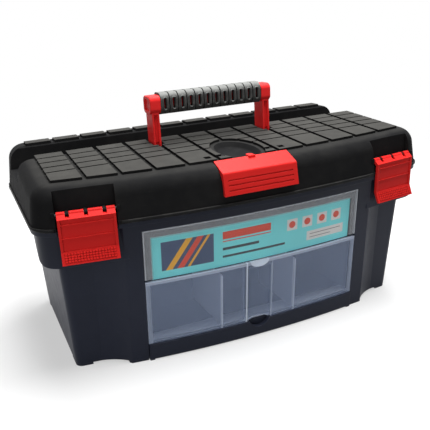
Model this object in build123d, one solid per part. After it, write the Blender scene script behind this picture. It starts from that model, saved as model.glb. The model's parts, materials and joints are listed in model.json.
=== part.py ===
"""Hand tool box with a hinged lid, a folding handle, three latches and a clear front drawer.

Millimetres, +Z up. X runs along the length, -Y is the front, Z = 0 is the table.
The origin is the bottom centre of the whole box.
"""
import os
from math import radians, sqrt, tan

from build123d import *

# Whole box
LENGTH = 455.0            # over the lid rim
DEPTH = 260.0             # front of the centre latch to the back of the hinge barrels
HEIGHT = 215.0            # lid ridge, handle folded down
LID_H = 53.2              # lid rim to ridge
WALL = 2.5                # moulded wall
SEAT = 0.3                # gap between pieces that rest on each other
RUN = 0.5                 # side gap of a piece that moves
PIN_PLAY = 0.05           # radial play of a running pin
BITE = 1.0                # how far joined forms reach into each other
REACH_PAST = 30.0         # how far a cutter reaches past what it cuts

# Base tub
BASE_INSET = 27.5         # lid rim to the foot of the ends
REAR_INSET = 24.0         # hinge barrels to the foot of the rear
CORNER_INSET = 51.0       # front to the foot of the front corner faces
SIDE_DRAFT = 3.0
REAR_DRAFT = 2.3
FRONT_SLOPE = 5.8         # the front leans outwards going up
REAR_CORNER = 18.0        # plan radius of the rear corners
FRONT_CORNER = 8.0        # plan radius of the front corners
SCOOP_X = 29.0            # width of the scoop beside the bay
FLANGE_T = 4.2            # rim flange under the lid
FOOT_H = 2.5              # feet under the corners
FOOT_X = 17.0
FOOT_Y = 24.0

# Front bay
BAY_INSET = 82.5          # lid rim to the crease beside the bay
BAY_DEEP = 28.0           # front to the bay's ends, at the foot
BAY_STRIP = 18.0          # solid strip beside the opening
BAY_HEAD = 11.7           # solid strip over the opening
BAY_BOW = 1080.0          # plan radius of the bowed front
PLINTH_H = 19.5
PLINTH_T = 8.5
PLINTH_PROUD = 2.0
DRAWER_SHARE = 0.559      # drawer's part of the opening's height
FRONT_T = 3.0             # drawer front and label window
CARD_T = 0.6
CARD_EDGE = 9.0           # window border round the card
DRAWER_DEEP = 72.0        # bin behind the drawer front
BIN_T = 2.0
BIN_DROP = 6.0            # bin wall below the top of the drawer front
DIVIDER_SHARE = 0.35      # divider's place along the half opening
DIVIDER_T = 1.6
PULL_R = 14.5             # centre pull of the drawer
PULL_T = 7.5              # thickness of the drawer front there
CHANNEL_T = 2.2           # depth of the pull's channel
FINGER_X = 12.0           # half width of the finger hole under the pull
FINGER_T = 5.5
FINGER_RISE = 3.6         # its part in the drawer
FINGER_DROP = 8.2         # its part in the plinth
THUMB_X = 11.5            # half width of the thumb rest over the pull
THUMB_DROP = 7.3
THUMB_T = 4.0

# Lid
LID_BEAD = 0.6            # rim bead proud of the lid wall
BEAD_H = 3.6
LID_BOW = 1070.0          # plan radius of the lid front
FLAP_PROUD = 2.5          # centre latch in front of the lid rim
LID_CORNER = 27.0         # plan radius of the rear corners
LID_FRONT_CORNER = 28.0
LID_DRAFT = 7.0
SHOULDER = 18.0           # top edge radius
INNER_SHOULDER = 11.0     # chamfer of the same edge inside
FIELD_INSET = 22.5        # lid rim to the tile field
FIELD_DROP = 10.0         # ridge to the field's front
FIELD_FRONT_INSET = 44.0  # front to the field's front corners
FIELD_BOW = 1320.0        # plan radius of the field's front edge
FIELD_REAR = 10.0         # front edge of the trough
FIELD_TILT = 3.9
ROLL = 5.0                # chamfer into the trough
TILE_H = 2.0
GROOVE = 2.6              # between rows of tiles
COLUMN_GROOVE = 4.6
COLUMNS = 12
BACK_ROWS = 4
FRONT_ROW = 24.0          # depth of the front row at its ends
RIDGE_TILE = 17.0
RIDGE_EDGE = 2.0          # ridge front to its tiles
TROUGH_PLAY = 1.5         # folded handle to trough
RIDGE_ROOM = 11.8         # folded grip to the ridge

# Handle
ARM_SHARE = 0.15165       # arm centre along the length
ARM_W = 8.4
ARM_D = 24.0              # head and rounded foot
ARM_WAIST = 21.0          # bar between them
ARM_RIB = 1.9             # ribs beside the arm's channel
ARM_CHANNEL = 2.2
ARM_NOTCH = 5.0           # deeper end of the channel at the foot
HANDLE_Y = -5.0
PIVOT_DROP = 14.0         # pivot below the ridge
REACH_SHARE = 0.2077      # pivot to grip centre, by the depth
HEAD_W = 12.4
HEAD_H = 20.0
HEAD_CREST = 9.5          # head above the grip centre
HEAD_ROUND = 6.0
PANEL_T = 1.6             # sunk panel on the head
PANEL_EDGE = 3.5
GRIP_D = 24.0
GRIP_FLAT = 0.6           # grip is this much thinner than it is high
GRIP_ROUND = 8.0
GRIP_RINGS = 12
GRIP_GROOVE_W = 1.2
GRIP_GROOVE_T = 1.8
SLOT_W = 3.4
SLOT_H = 11.5
CORE_D = 13.0
CORE_ROUND = 3.0
TENON = 8.0
TENON_L = 7.0
PIVOT_R = 3.0
PIVOT_BOSS = 5.0

# Side latches, built about their own centre and turned with the lid front
LATCH_INSET = 50.0        # lid rim to the latch centre
LATCH_SUNK = 1.84         # lid front to the barrel's front
LATCH_YAW = 8.6
LATCH_W = 55.0
LATCH_T = 3.2
LATCH_RISE = 16.1         # pin above the seam
LATCH_BAND = 6.0          # height of the sloping band in front of the barrel
LATCH_STEP = 4.4          # band's lower edge in front of the barrel
LATCH_CREASE = 20.2       # grip's fold below the seam
LATCH_FALL = 1.8          # plate falls back from the band to the crease
LATCH_FOOT = 32.0
LATCH_KICK = 4.2          # grip in front of the crease
LATCH_LIP = 2.6
LATCH_BORDER = 2.6
LATCH_PANEL = 1.1         # depth of the sunk panels
LATCH_SPLITS = (0.0, 0.17, 0.585, 1.0)   # panels along the plate
LATCH_RIB = 0.8           # rib between two panels
POCKET_SIDE = 1.5         # gap beside the latch
POCKET_DROP = 4.5         # pocket top below the field
POCKET_BACK = 8.3         # barrel's front to the pocket's back
LATCH_BACK = 1.0          # room behind the plate
LUG_W = 2.8
LUG_SHARE = 0.32          # outer lugs along the latch
LUG_NOTCH = 3.8
LUG_R = 2.0
LUG_BOSS = 3.2
BARREL_R = 2.6
PIN_R = 1.2
HOUSING_DROP = 38.3       # lower edge of the latch housings below the seam
HOUSING_SUNK = 4.0
HOUSING_BACK = 50.0       # sweep of the housing along the side
HOUSING_LEAN = 0.45       # lean of the sweep where it meets the rim

# Centre latch
FLAP_SHARE = 0.0923       # half width by the length
FLAP_FOOT = 11.6           # foot above the seam
FLAP_SET = 20.8           # front to the pin
FLAP_PIN_DROP = 5.4       # pin below the field
FLAP_DROP = 8.6           # bend below the field
FLAP_LEAN = 4.0           # foot forward of the bend
FLAP_HAUNCH = 2.0         # extra thickness under the bend
FLAP_T = 3.8
FLAP_TOP_T = 4.6
FLAP_ROUND = 3.0
FLAP_REAR = 3.7           # flap behind its pin
FLAP_BACK_GAP = 3.5       # room behind the flap for its swing
FLAP_SIDE = 0.7
FLAP_BORDER = 5.0
FLAP_GROOVES = 3
NUB_X = 3.5
NUB_L = 6.5
NUB_T = 3.6
NUB_ROUND = 3.0

# Finger dish behind the centre latch, and the small notches beside it
DISH_X = 23.0
DISH_Y = 36.0
DISH_SET = 56.0           # front to the dish centre
DISH_DEEP = 6.2
DISH_SLANT = 5.5          # floor inside the brim
DISH_ROUND = 3.0
DISH_BRIM = 4.0           # plain brim inside the tiles
NOTCHES = ((28.0, 8.0, 38.5, 6.0), (43.0, 7.0, 37.5, 5.0))   # x, width, set back, depth
NOTCH_L = 7.0

# Hinge
HINGE_R = 5.7
HINGE_SHARE = 2 / 7       # hinge place along the length
KNUCKLE = 20.0
KNUCKLE_GAP = 1.9
HINGE_PIN_R = 2.0
HINGE_DROP = 1.0          # axis below the seam
HINGE_CLEAR = 0.6

# Lift-out tray
TRAY_SIDE = 18.0          # tub end to the tray
TRAY_FRONT = 9.0          # corner face to the tray
TRAY_REAR = 2.0
TRAY_TOP = 10.0           # seam to the tray's rim
TRAY_T = 2.2
TRAY_CORNER = 10.0
TRAY_GRIP_X = 60.0
TRAY_GRIP_D = 10.0
TRAY_GRIP_H = 12.0

FRONT = -DEPTH / 2
FAR = LENGTH + DEPTH
SLOPE = tan(radians(FRONT_SLOPE))

LID_X = LENGTH / 2
LID_FRONT = FRONT + FLAP_PROUD
HINGE_Y = DEPTH / 2 - HINGE_R
LID_REAR = HINGE_Y - HINGE_R - HINGE_CLEAR
SEAM_Z = HEIGHT - LID_H
HINGE_Z = SEAM_Z - HINGE_DROP
HINGE_X = LENGTH * HINGE_SHARE
RIDGE_Z = HEIGHT - TILE_H
FIELD_X = LID_X - FIELD_INSET
FIELD_Z = HEIGHT - FIELD_DROP
FIELD_FRONT = FRONT + FIELD_FRONT_INSET

ARM_X = LENGTH * ARM_SHARE
PIVOT_Z = HEIGHT - PIVOT_DROP
REACH = DEPTH * REACH_SHARE
GRIP_Z = PIVOT_Z + REACH
GRIP_X = ARM_X - HEAD_W / 2
HEAD_FOOT = GRIP_Z + HEAD_CREST - HEAD_H
TROUGH_Z = PIVOT_Z - ARM_D / 2 - TROUGH_PLAY
RIDGE_FRONT = HANDLE_Y + REACH + GRIP_D / 2 + RIDGE_ROOM

BASE_X = LID_X - BASE_INSET
BASE_REAR = DEPTH / 2 - REAR_INSET
CORNER_Y = FRONT + CORNER_INSET
FLANGE_TOP = SEAM_Z - SEAT
BASE_TOP = FLANGE_TOP - FLANGE_T
BAY_X = LID_X - BAY_INSET
BAY_END = FRONT + BAY_DEEP
OPEN_X = BAY_X - BAY_STRIP
BAY_TOP = SEAM_Z - BAY_HEAD
DRAWER_Z = PLINTH_H + SEAT
DRAWER_H = (BAY_TOP - PLINTH_H) * DRAWER_SHARE
DRAWER_TOP = DRAWER_Z + DRAWER_H
WINDOW_Z = DRAWER_TOP + RUN
WINDOW_TOP = BAY_TOP - SEAT
SHELF_Z = WINDOW_Z + WALL
CARD_BACK = FRONT_T + CARD_T + 2 * SEAT
BIN_BACK = BAY_END + DRAWER_DEEP
BIN_X = OPEN_X - BIN_T - RUN - BITE
BIN_Z = PLINTH_H + RUN
DIVIDER_X = OPEN_X * DIVIDER_SHARE

LATCH_X = LID_X - LATCH_INSET
LATCH_PIN_Z = SEAM_Z + LATCH_RISE
LATCH_TOP = LATCH_PIN_Z + BARREL_R
BAND_Z = LATCH_TOP - LATCH_BAND
CREASE_Z = SEAM_Z - LATCH_CREASE
CREASE_Y = LATCH_FALL - LATCH_STEP
LATCH_REAR = CREASE_Y + LATCH_T + LATCH_BACK
HOUSING_FOOT = SEAM_Z - HOUSING_DROP
FLAP_X = LENGTH * FLAP_SHARE
FLAP_FOOT_Z = SEAM_Z + FLAP_FOOT
FLAP_PIN_Y = FRONT + FLAP_SET
FLAP_PIN_Z = FIELD_Z - FLAP_PIN_DROP
FLAP_BEND_Z = FIELD_Z - FLAP_DROP
FLAP_END_Y = FLAP_PIN_Y + FLAP_REAR
DISH_MID = FRONT + DISH_SET

TRAY_X = BASE_X - TRAY_SIDE
TRAY_Y0 = CORNER_Y + TRAY_FRONT
TRAY_Y1 = BASE_REAR - TRAY_REAR
TRAY_MID = (TRAY_Y0 + TRAY_Y1) / 2
TRAY_Z = SHELF_Z + SEAT
TRAY_RIM = SEAM_Z - TRAY_TOP
TRAY_HAND = TRAY_RIM - TRAY_GRIP_H - 2 * TRAY_GRIP_D


def prism_x(points, half):
    """Solid with the given (y, z) outline, centred on x = 0."""
    face = make_face(Polyline([(0, y, z) for y, z in points], close=True))
    return extrude(face, amount=half, dir=(1, 0, 0), both=True)


def block(x0, x1, y0, y1, z0, z1):
    """Box between the given limits."""
    size = Box(x1 - x0, y1 - y0, z1 - z0)
    return Pos((x0 + x1) / 2, (y0 + y1) / 2, (z0 + z1) / 2) * size


def rod_x(radius, x0, x1, y, z):
    """Cylinder along X."""
    return Pos((x0 + x1) / 2, y, z) * Rot(0, 90, 0) * Cylinder(radius, x1 - x0)


def flip(shape):
    """Left-hand copy of a right-hand shape."""
    return mirror(shape, about=Plane.YZ)


def both_sides(shape):
    """The shape and its mirror image."""
    return shape + flip(shape)


def join(shapes):
    """One shape from a list."""
    total = shapes[0]
    for shape in shapes[1:]:
        total = total + shape
    return total


def sag(x, radius):
    """How far a bow of this radius falls back at x."""
    return radius - sqrt(radius * radius - x * x)


# Lid

def lid_plan(inset):
    """Lid outline with its bowed front."""
    x = LID_X - inset
    y0 = LID_FRONT + inset
    y1 = LID_REAR - inset
    ye = y0 + sag(x, LID_BOW)
    front = ThreePointArc((-x, ye), (0, y0), (x, ye))
    rest = Polyline((x, ye), (x, y1), (-x, y1), (-x, ye))
    face = make_face([front, *rest.edges()])
    face = fillet(face.vertices().sort_by(Axis.Y)[-2:], LID_CORNER - inset)
    return fillet(face.vertices().filter_by_position(Axis.Y, y0, ye + PIN_PLAY), LID_FRONT_CORNER - inset)


def field_z(y):
    """Field level at depth y."""
    return FIELD_Z + (y - FIELD_FRONT) * tan(radians(FIELD_TILT))


def lid_block(inset, front_z, rear_z):
    """Drafted block under a sloping top, with its top edges eased."""
    tall = extrude(Pos(0, 0, SEAM_Z) * lid_plan(inset), amount=LID_H + SHOULDER, taper=LID_DRAFT)
    top = [(-FAR, 0), (FAR, 0), (FAR, rear_z - inset), (-FAR, front_z - inset)]
    body = tall & prism_x(top, FAR)
    edges = body.faces().sort_by(Axis.Z)[-1].edges()
    if inset > LID_BEAD:
        return chamfer(edges, INNER_SHOULDER)
    return fillet(edges, SHOULDER - inset)


def lid_form(inset):
    """Outer form of the lid (or its hollow): field, trough and rear ridge."""
    field = lid_block(inset, field_z(-FAR), field_z(FAR))
    ridge = lid_block(inset, RIDGE_Z, RIDGE_Z)
    y1 = FIELD_REAR - inset
    y2 = RIDGE_FRONT + inset
    floor = TROUGH_Z - inset
    top = HEIGHT + REACH_PAST
    near = prism_x([(-FAR, 0), (FAR, 0), (FAR, floor), (y1, floor), (y1, field_z(y1) - ROLL),
                    (y1 - ROLL, field_z(y1)), (y1 - ROLL, top), (-FAR, top)], FAR)
    crest = RIDGE_Z - inset
    back = prism_x([(y2, floor), (FAR, floor), (FAR, top), (y2 + RIDGE_EDGE, top),
                    (y2 + RIDGE_EDGE, crest), (y2, crest - RIDGE_EDGE)], FAR)
    return (field & near) + (ridge & back)


def latch_place():
    """Frame of the right side latch: x along its pin, y = 0 on the barrel's front."""
    y = LID_FRONT + sag(LATCH_X, LID_BOW) + LATCH_SUNK
    return Pos(LATCH_X, y, 0) * Rot(0, 0, LATCH_YAW)


def side_pocket(grow):
    """Pocket in the lid round one side latch."""
    x = LATCH_W / 2 + POCKET_SIDE + grow
    top = FIELD_Z - POCKET_DROP + grow
    return latch_place() * block(-x, x, -REACH_PAST, POCKET_BACK + grow, SEAM_Z - REACH_PAST, top)


def flap_inner(gap):
    """Inner (y, z) line of the centre latch, foot to rear edge, set back by a gap."""
    return [(FRONT + FLAP_T + gap, FLAP_FOOT_Z),
            (FRONT + FLAP_T + FLAP_LEAN / 2 + gap, FLAP_BEND_Z - 2 * FLAP_TOP_T - gap),
            (FRONT + FLAP_LEAN + FLAP_T + FLAP_HAUNCH + gap, FLAP_BEND_Z - FLAP_TOP_T / 2 - gap),
            (FLAP_END_Y, FIELD_Z - FLAP_TOP_T - gap)]


def flap_pocket(grow):
    """Recess in the lid under the centre latch, with the trench for its barrel."""
    gap = RUN + grow
    foot = FLAP_FOOT_Z - RUN - grow
    back = FLAP_END_Y + FLAP_BACK_GAP + grow
    line = flap_inner(gap)
    low = [(line[0][0], foot), line[1], line[2], (back, line[3][1])]
    out = [(back, HEIGHT), (FRONT - REACH_PAST, HEIGHT), (FRONT - REACH_PAST, foot)]
    x = FLAP_X + FLAP_SIDE + grow
    room = BARREL_R + gap
    trench = block(-x, x, FLAP_PIN_Y - room, back, FLAP_PIN_Z - room, HEIGHT)
    nub_x = NUB_X + gap
    slot = block(-nub_x, nub_x, FLAP_PIN_Y, FLAP_END_Y + NUB_L + FLAP_BACK_GAP + grow,
                 FIELD_Z - 2 * NUB_L - grow, HEIGHT)
    return prism_x(low + out, x) + trench + slot


def dish_place(z):
    """Frame of the finger dish, lying with the field, z above it."""
    return Pos(0, DISH_MID, field_z(DISH_MID)) * Rot(FIELD_TILT, 0, 0) * Pos(0, 0, z)


def finger_dish():
    """Shallow oval dish behind the centre latch."""
    over = DISH_BRIM * DISH_SLANT / DISH_DEEP
    floor = Pos(0, 0, -DISH_DEEP) * Ellipse(DISH_X - DISH_SLANT, DISH_Y - DISH_SLANT)
    brim = Pos(0, 0, DISH_BRIM) * Ellipse(DISH_X + over, DISH_Y + over)
    dish = loft([floor, brim], ruled=True)
    return dish_place(0) * fillet(dish.faces().sort_by(Axis.Z)[0].edges(), DISH_ROUND)


def dish_back():
    """Wall left under the finger dish."""
    return dish_place(-DISH_DEEP - WALL) * extrude(Ellipse(DISH_X, DISH_Y), amount=LID_H)


def latch_notches(grow):
    """Small square notches in the lid beside the dish."""
    cuts = []
    for x, width, back, deep in NOTCHES:
        half = width / 2 + grow
        y = FRONT + back
        half_l = NOTCH_L / 2 + grow
        cuts.append(block(x - half, x + half, y - half_l, y + half_l, FIELD_Z - deep - grow, HEIGHT))
    return both_sides(join(cuts))


def arm_slot(grow):
    """Slot in the lid for the right handle arm, open to the trough."""
    x = ARM_W / 2 + RUN + grow
    y0 = HANDLE_Y - ARM_D / 2 - RUN - grow
    return block(ARM_X - x, ARM_X + x, y0, RIDGE_FRONT - ROLL, TROUGH_Z - grow, HEIGHT)


def field_tiles():
    """Raised tiles of the field, cut clear of the dish, the flap and the arms."""
    pitch = 2 * FIELD_X / COLUMNS
    width = pitch - COLUMN_GROOVE
    split = FIELD_FRONT + FRONT_ROW
    row = (FIELD_REAR - BITE - split) / BACK_ROWS
    bow = Pos(0, FIELD_FRONT - sag(FIELD_X, FIELD_BOW) + FIELD_BOW) * Circle(FIELD_BOW)
    flat = []
    for c in range(COLUMNS):
        x = -FIELD_X + pitch * (c + 0.5)
        y0 = FIELD_FRONT - FRONT_ROW
        tile = Pos(x, (y0 + split) / 2) * Rectangle(width, split - y0)
        flat.append(tile & bow)
        for r in range(BACK_ROWS):
            y = split + row * (r + 0.5) + GROOVE / 2
            flat.append(Pos(x, y) * Rectangle(width, row - GROOVE))
    dish = Pos(0, DISH_MID) * Ellipse(DISH_X + DISH_BRIM, DISH_Y + DISH_BRIM)
    flap = Pos(0, FRONT) * Rectangle(2 * (FLAP_X + GROOVE), 2 * DISH_SET - 2 * DISH_Y + DISH_BRIM)
    keep = join(flat) - dish - flap
    for side in (-1, 1):
        keep = keep - Pos(side * ARM_X, HANDLE_Y) * Rectangle(ARM_W + 2 * GROOVE, ARM_D + 2 * GROOVE)
    slab = prism_x([(-FAR, field_z(-FAR) - BITE), (FAR, field_z(FAR) - BITE),
                    (FAR, field_z(FAR) + TILE_H), (-FAR, field_z(-FAR) + TILE_H)], FAR)
    return extrude(Pos(0, 0, SEAM_Z) * keep, amount=LID_H + REACH_PAST) & slab


def ridge_tiles():
    """Raised tiles along the rear ridge."""
    pitch = 2 * FIELD_X / COLUMNS
    half = (pitch - COLUMN_GROOVE) / 2
    y0 = RIDGE_FRONT + RIDGE_EDGE
    tiles = []
    for c in range(COLUMNS):
        x = -FIELD_X + pitch * (c + 0.5)
        tiles.append(block(x - half, x + half, y0, y0 + RIDGE_TILE, RIDGE_Z - BITE, HEIGHT))
    return tiles


def lug_places():
    """Places of the lid's lugs along a side latch."""
    return [share * LATCH_W for share in (-LUG_SHARE, 0.0, LUG_SHARE)]


def lid_lugs():
    """Lugs of the lid that hold the right side latch's pin."""
    lugs = []
    half = LUG_W / 2
    r = LUG_R
    low = LATCH_PIN_Z - r
    for x in lug_places():
        lugs.append(block(x - half, x + half, BARREL_R, POCKET_BACK + BITE, low, LATCH_PIN_Z + r))
        lugs.append(rod_x(r, x - half, x + half, BARREL_R, LATCH_PIN_Z))
    x = LATCH_W / 2 + POCKET_SIDE
    boss = block(x, x + LUG_BOSS, 0, 2 * BARREL_R, LATCH_PIN_Z - BARREL_R, LATCH_TOP)
    return latch_place() * (join(lugs) + both_sides(boss))


def lid_lug_bore():
    """Bore through the lugs of the right side latch."""
    half = LATCH_W / 2 + POCKET_SIDE + 2 * LUG_BOSS / 3
    return latch_place() * rod_x(PIN_R + PIN_PLAY, -half, half, BARREL_R, LATCH_PIN_Z)


def knuckle(x, width, y_root, z0, z1):
    """One hinge barrel with its web to the wall."""
    barrel = rod_x(HINGE_R, x - width / 2, x + width / 2, HINGE_Y, HINGE_Z)
    return barrel + block(x - width / 2, x + width / 2, y_root, HINGE_Y, z0, z1)


def hinge_bore(x):
    """Bore for one hinge pin."""
    return rod_x(HINGE_PIN_R + PIN_PLAY, x - 2 * KNUCKLE, x + 2 * KNUCKLE, HINGE_Y, HINGE_Z)


def pivot_boss():
    """Walls beside the right arm slot that carry the handle's pivot."""
    x = ARM_W / 2 + RUN + WALL + BITE
    r = PIVOT_BOSS
    boss = block(ARM_X - x, ARM_X + x, HANDLE_Y - r, HANDLE_Y + r, PIVOT_Z - r, PIVOT_Z + r)
    return boss - arm_slot(0)


def pivot_length():
    """Half length of a handle pivot."""
    return ARM_W / 2 + RUN + WALL


def lid_shell():
    """Lid: hollow form, pockets, tiles, latch lugs and hinge barrels."""
    outer = lid_form(LID_BEAD) + extrude(Pos(0, 0, SEAM_Z) * lid_plan(0), amount=BEAD_H)
    inset = LID_BEAD + WALL
    hollow = lid_form(inset) + extrude(Pos(0, 0, SEAM_Z - BITE) * lid_plan(inset), amount=2 * BITE)
    hollow = hollow - dish_back()
    outer = outer - flap_pocket(0) - finger_dish() - latch_notches(0)
    outer = join([outer + (field_tiles() - latch_notches(0)), *ridge_tiles()])
    hollow = hollow - flap_pocket(WALL) - latch_notches(WALL)
    for pocket in (side_pocket, arm_slot):
        outer = outer - both_sides(pocket(0))
        hollow = hollow - both_sides(pocket(WALL))
    lid = outer - hollow + both_sides(lid_lugs()) - both_sides(lid_lug_bore())
    for x in (-HINGE_X, HINGE_X):
        lid = lid + knuckle(x, KNUCKLE, LID_REAR - WALL, SEAM_Z, HINGE_Z + HINGE_R) - hinge_bore(x)
    half = pivot_length() + PIN_PLAY
    pivots = rod_x(PIVOT_R + PIN_PLAY, ARM_X - half, ARM_X + half, HANDLE_Y, PIVOT_Z)
    lid = lid + both_sides(pivot_boss()) - both_sides(pivots)
    half = FLAP_X + FLAP_SIDE + WALL
    return lid - rod_x(PIN_R + PIN_PLAY, -half, half, FLAP_PIN_Y, FLAP_PIN_Z)


# Handle

def handle_arm():
    """Right arm: channelled bar with a rounded foot and a deeper head."""
    x0 = ARM_X - ARM_W / 2
    x1 = ARM_X + ARM_W / 2
    y0 = HANDLE_Y - ARM_D / 2
    y1 = HANDLE_Y + ARM_D / 2
    near = HANDLE_Y - ARM_WAIST / 2
    far = HANDLE_Y + ARM_WAIST / 2
    bar = block(x0, x1, near, far, PIVOT_Z, GRIP_Z) + rod_x(ARM_D / 2, x0, x1, HANDLE_Y, PIVOT_Z)
    head_x = ARM_X + HEAD_W / 2
    crest = GRIP_Z + HEAD_CREST
    head = block(head_x - HEAD_W, head_x, y0, y1, HEAD_FOOT, crest)
    head = fillet(head.edges().filter_by(Axis.X), HEAD_ROUND)
    head = chamfer(head.faces().sort_by(Axis.X)[-1].edges(), PANEL_T / 2)
    xa = x0 + ARM_RIB
    xb = x1 - ARM_RIB
    low = PIVOT_Z + ARM_D / 2
    high = HEAD_FOOT - 2 * SEAT
    channel = block(xa, xb, near - BITE, near + ARM_CHANNEL, low - BITE, high)
    channel = channel + block(xa, xb, far - ARM_CHANNEL, far + BITE, low - BITE, high)
    channel = channel + block(xa, xb, y0 - BITE, y0 + ARM_NOTCH, PIVOT_Z, low)
    panel = block(head_x - PANEL_T, head_x + BITE, y0 + PANEL_EDGE, y1 - PANEL_EDGE,
                  HEAD_FOOT + PANEL_EDGE, crest - PANEL_EDGE)
    panel = fillet(panel.edges().filter_by(Axis.X), HEAD_ROUND / 2)
    mortise = TENON + SEAT
    socket = Pos(GRIP_X, HANDLE_Y, GRIP_Z) * Box(2 * (TENON_L + SEAT), mortise, mortise)
    arm = bar + head - channel - panel - socket
    return arm - rod_x(PIVOT_R + PIN_PLAY, x0 - BITE, x1 + BITE, HANDLE_Y, PIVOT_Z)


def core_bar():
    """Bar through the grip, with a tenon at each end."""
    bar = Box(2 * (GRIP_X - SEAT), CORE_D, CORE_D)
    bar = fillet(bar.edges().filter_by(Axis.X), CORE_ROUND)
    return Pos(0, HANDLE_Y, GRIP_Z) * (bar + Box(2 * (GRIP_X + TENON_L), TENON, TENON))


def grip_sleeve():
    """Soft grip of equal rings, each with a slot front and back."""
    half = GRIP_X - 2 * SEAT
    pitch = 2 * half / GRIP_RINGS
    wide = GRIP_D - GRIP_FLAT
    sink = 2 * GRIP_GROOVE_T
    sleeve = extrude(Plane.YZ * RectangleRounded(wide, GRIP_D, GRIP_ROUND), amount=half, both=True)
    inner = RectangleRounded(wide - sink, GRIP_D - sink, GRIP_ROUND - GRIP_GROOVE_T)
    groove = Plane.YZ * (Rectangle(2 * GRIP_D, 2 * GRIP_D) - inner)
    for k in range(1, GRIP_RINGS):
        sleeve = sleeve - Pos(pitch * k - half, 0, 0) * extrude(groove, amount=GRIP_GROOVE_W / 2, both=True)
    room = CORE_D + 2 * SEAT
    bore = Plane.YZ * RectangleRounded(room, room, CORE_ROUND + SEAT)
    sleeve = sleeve - extrude(bore, amount=half + BITE, both=True)
    for k in range(GRIP_RINGS):
        sleeve = sleeve - Pos(pitch * (k + 0.5) - half, 0, 0) * Box(SLOT_W, 2 * GRIP_D, SLOT_H)
    return Pos(0, HANDLE_Y, GRIP_Z) * sleeve


def handle_pivot():
    """Right pivot pin of the handle."""
    half = pivot_length()
    return rod_x(PIVOT_R, ARM_X - half, ARM_X + half, HANDLE_Y, PIVOT_Z)


# Latches

def plate_y(z):
    """Front of a side latch's plate at height z."""
    return LATCH_FALL * (BAND_Z - z) / (BAND_Z - CREASE_Z) - LATCH_STEP


def latch_panels():
    """Cuts for the sunk panels of a side latch."""
    x = LATCH_W / 2 - LATCH_BORDER
    cuts = []
    for upper, lower in zip(LATCH_SPLITS, LATCH_SPLITS[1:]):
        z1 = BAND_Z - (BAND_Z - CREASE_Z) * upper - LATCH_RIB / 2
        z0 = BAND_Z - (BAND_Z - CREASE_Z) * lower + LATCH_RIB / 2
        sunk = [(plate_y(z1) + LATCH_PANEL, z1), (plate_y(z0) + LATCH_PANEL, z0)]
        cuts.append(prism_x(sunk + [(-REACH_PAST, z0), (-REACH_PAST, z1)], x))
    return join(cuts)


def side_latch():
    """Right side latch: notched barrel, sloping band, panelled plate and a kicked grip."""
    half = LATCH_W / 2
    foot = SEAM_Z - LATCH_FOOT
    lip = CREASE_Y - LATCH_KICK
    outer = [(BARREL_R, LATCH_TOP), (-LATCH_STEP, BAND_Z), (CREASE_Y, CREASE_Z), (lip, foot)]
    inner = [(lip + LATCH_LIP, foot), (CREASE_Y + LATCH_T, CREASE_Z),
             (LATCH_T - LATCH_STEP, BAND_Z - LATCH_T / 2), (BARREL_R, LATCH_PIN_Z - BARREL_R)]
    latch = prism_x(outer + inner, half) - latch_panels()
    latch = latch + rod_x(BARREL_R, -half, half, BARREL_R, LATCH_PIN_Z)
    notch = LUG_NOTCH / 2
    low = LATCH_PIN_Z - LUG_R - RUN
    for x in lug_places():
        latch = latch - block(x - notch, x + notch, -REACH_PAST, REACH_PAST, low, LATCH_TOP + BITE)
    return latch - rod_x(PIN_R + PIN_PLAY, -half - BITE, half + BITE, BARREL_R, LATCH_PIN_Z)


def latch_pin():
    """Pin of the right side latch."""
    half = LATCH_W / 2 + POCKET_SIDE + LUG_BOSS / 2
    return rod_x(PIN_R, -half, half, BARREL_R, LATCH_PIN_Z)


def centre_latch():
    """Flap over the lid's front shoulder, hinged at its rear edge."""
    bend = (FRONT + FLAP_LEAN, FLAP_BEND_Z)
    outer = [(FLAP_END_Y, FIELD_Z), bend, (FRONT, FLAP_FOOT_Z)]
    flap = prism_x(outer + flap_inner(0), FLAP_X)
    corner = flap.edges().filter_by(Axis.X).sort_by_distance((0, *bend))[0]
    flap = fillet(corner, FLAP_ROUND)
    flap = flap + rod_x(BARREL_R, -FLAP_X, FLAP_X, FLAP_PIN_Y, FLAP_PIN_Z)
    top = FIELD_Z + BITE
    nub = block(-NUB_X, NUB_X, FLAP_END_Y - FLAP_REAR, FLAP_END_Y + NUB_L, top - NUB_T, top)
    flap = flap + fillet(nub.faces().sort_by(Axis.Y)[-1].edges().filter_by(Axis.Z), NUB_ROUND)
    step = (FLAP_BEND_Z - FLAP_FOOT_Z) / (FLAP_GROOVES + 1.5)
    x = FLAP_X - FLAP_BORDER
    for k in range(FLAP_GROOVES):
        z = FLAP_FOOT_Z + step * (k + 1)
        y = FRONT + FLAP_LEAN * (z - FLAP_FOOT_Z) / (FLAP_BEND_Z - FLAP_FOOT_Z)
        flap = flap - block(-x, x, y - BITE, y + FLAP_SIDE, z - FLAP_SIDE, z + FLAP_SIDE)
    return flap - rod_x(PIN_R + PIN_PLAY, -FLAP_X - BITE, FLAP_X + BITE, FLAP_PIN_Y, FLAP_PIN_Z)


def centre_latch_pin():
    """Pin of the centre latch."""
    half = FLAP_X + FLAP_SIDE + WALL - SEAT
    return rod_x(PIN_R, -half, half, FLAP_PIN_Y, FLAP_PIN_Z)


# Base

def bay_y(x, z):
    """Front of the bay at x and height z."""
    return BAY_END - (sag(OPEN_X, BAY_BOW) - sag(x, BAY_BOW)) - z * SLOPE


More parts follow.
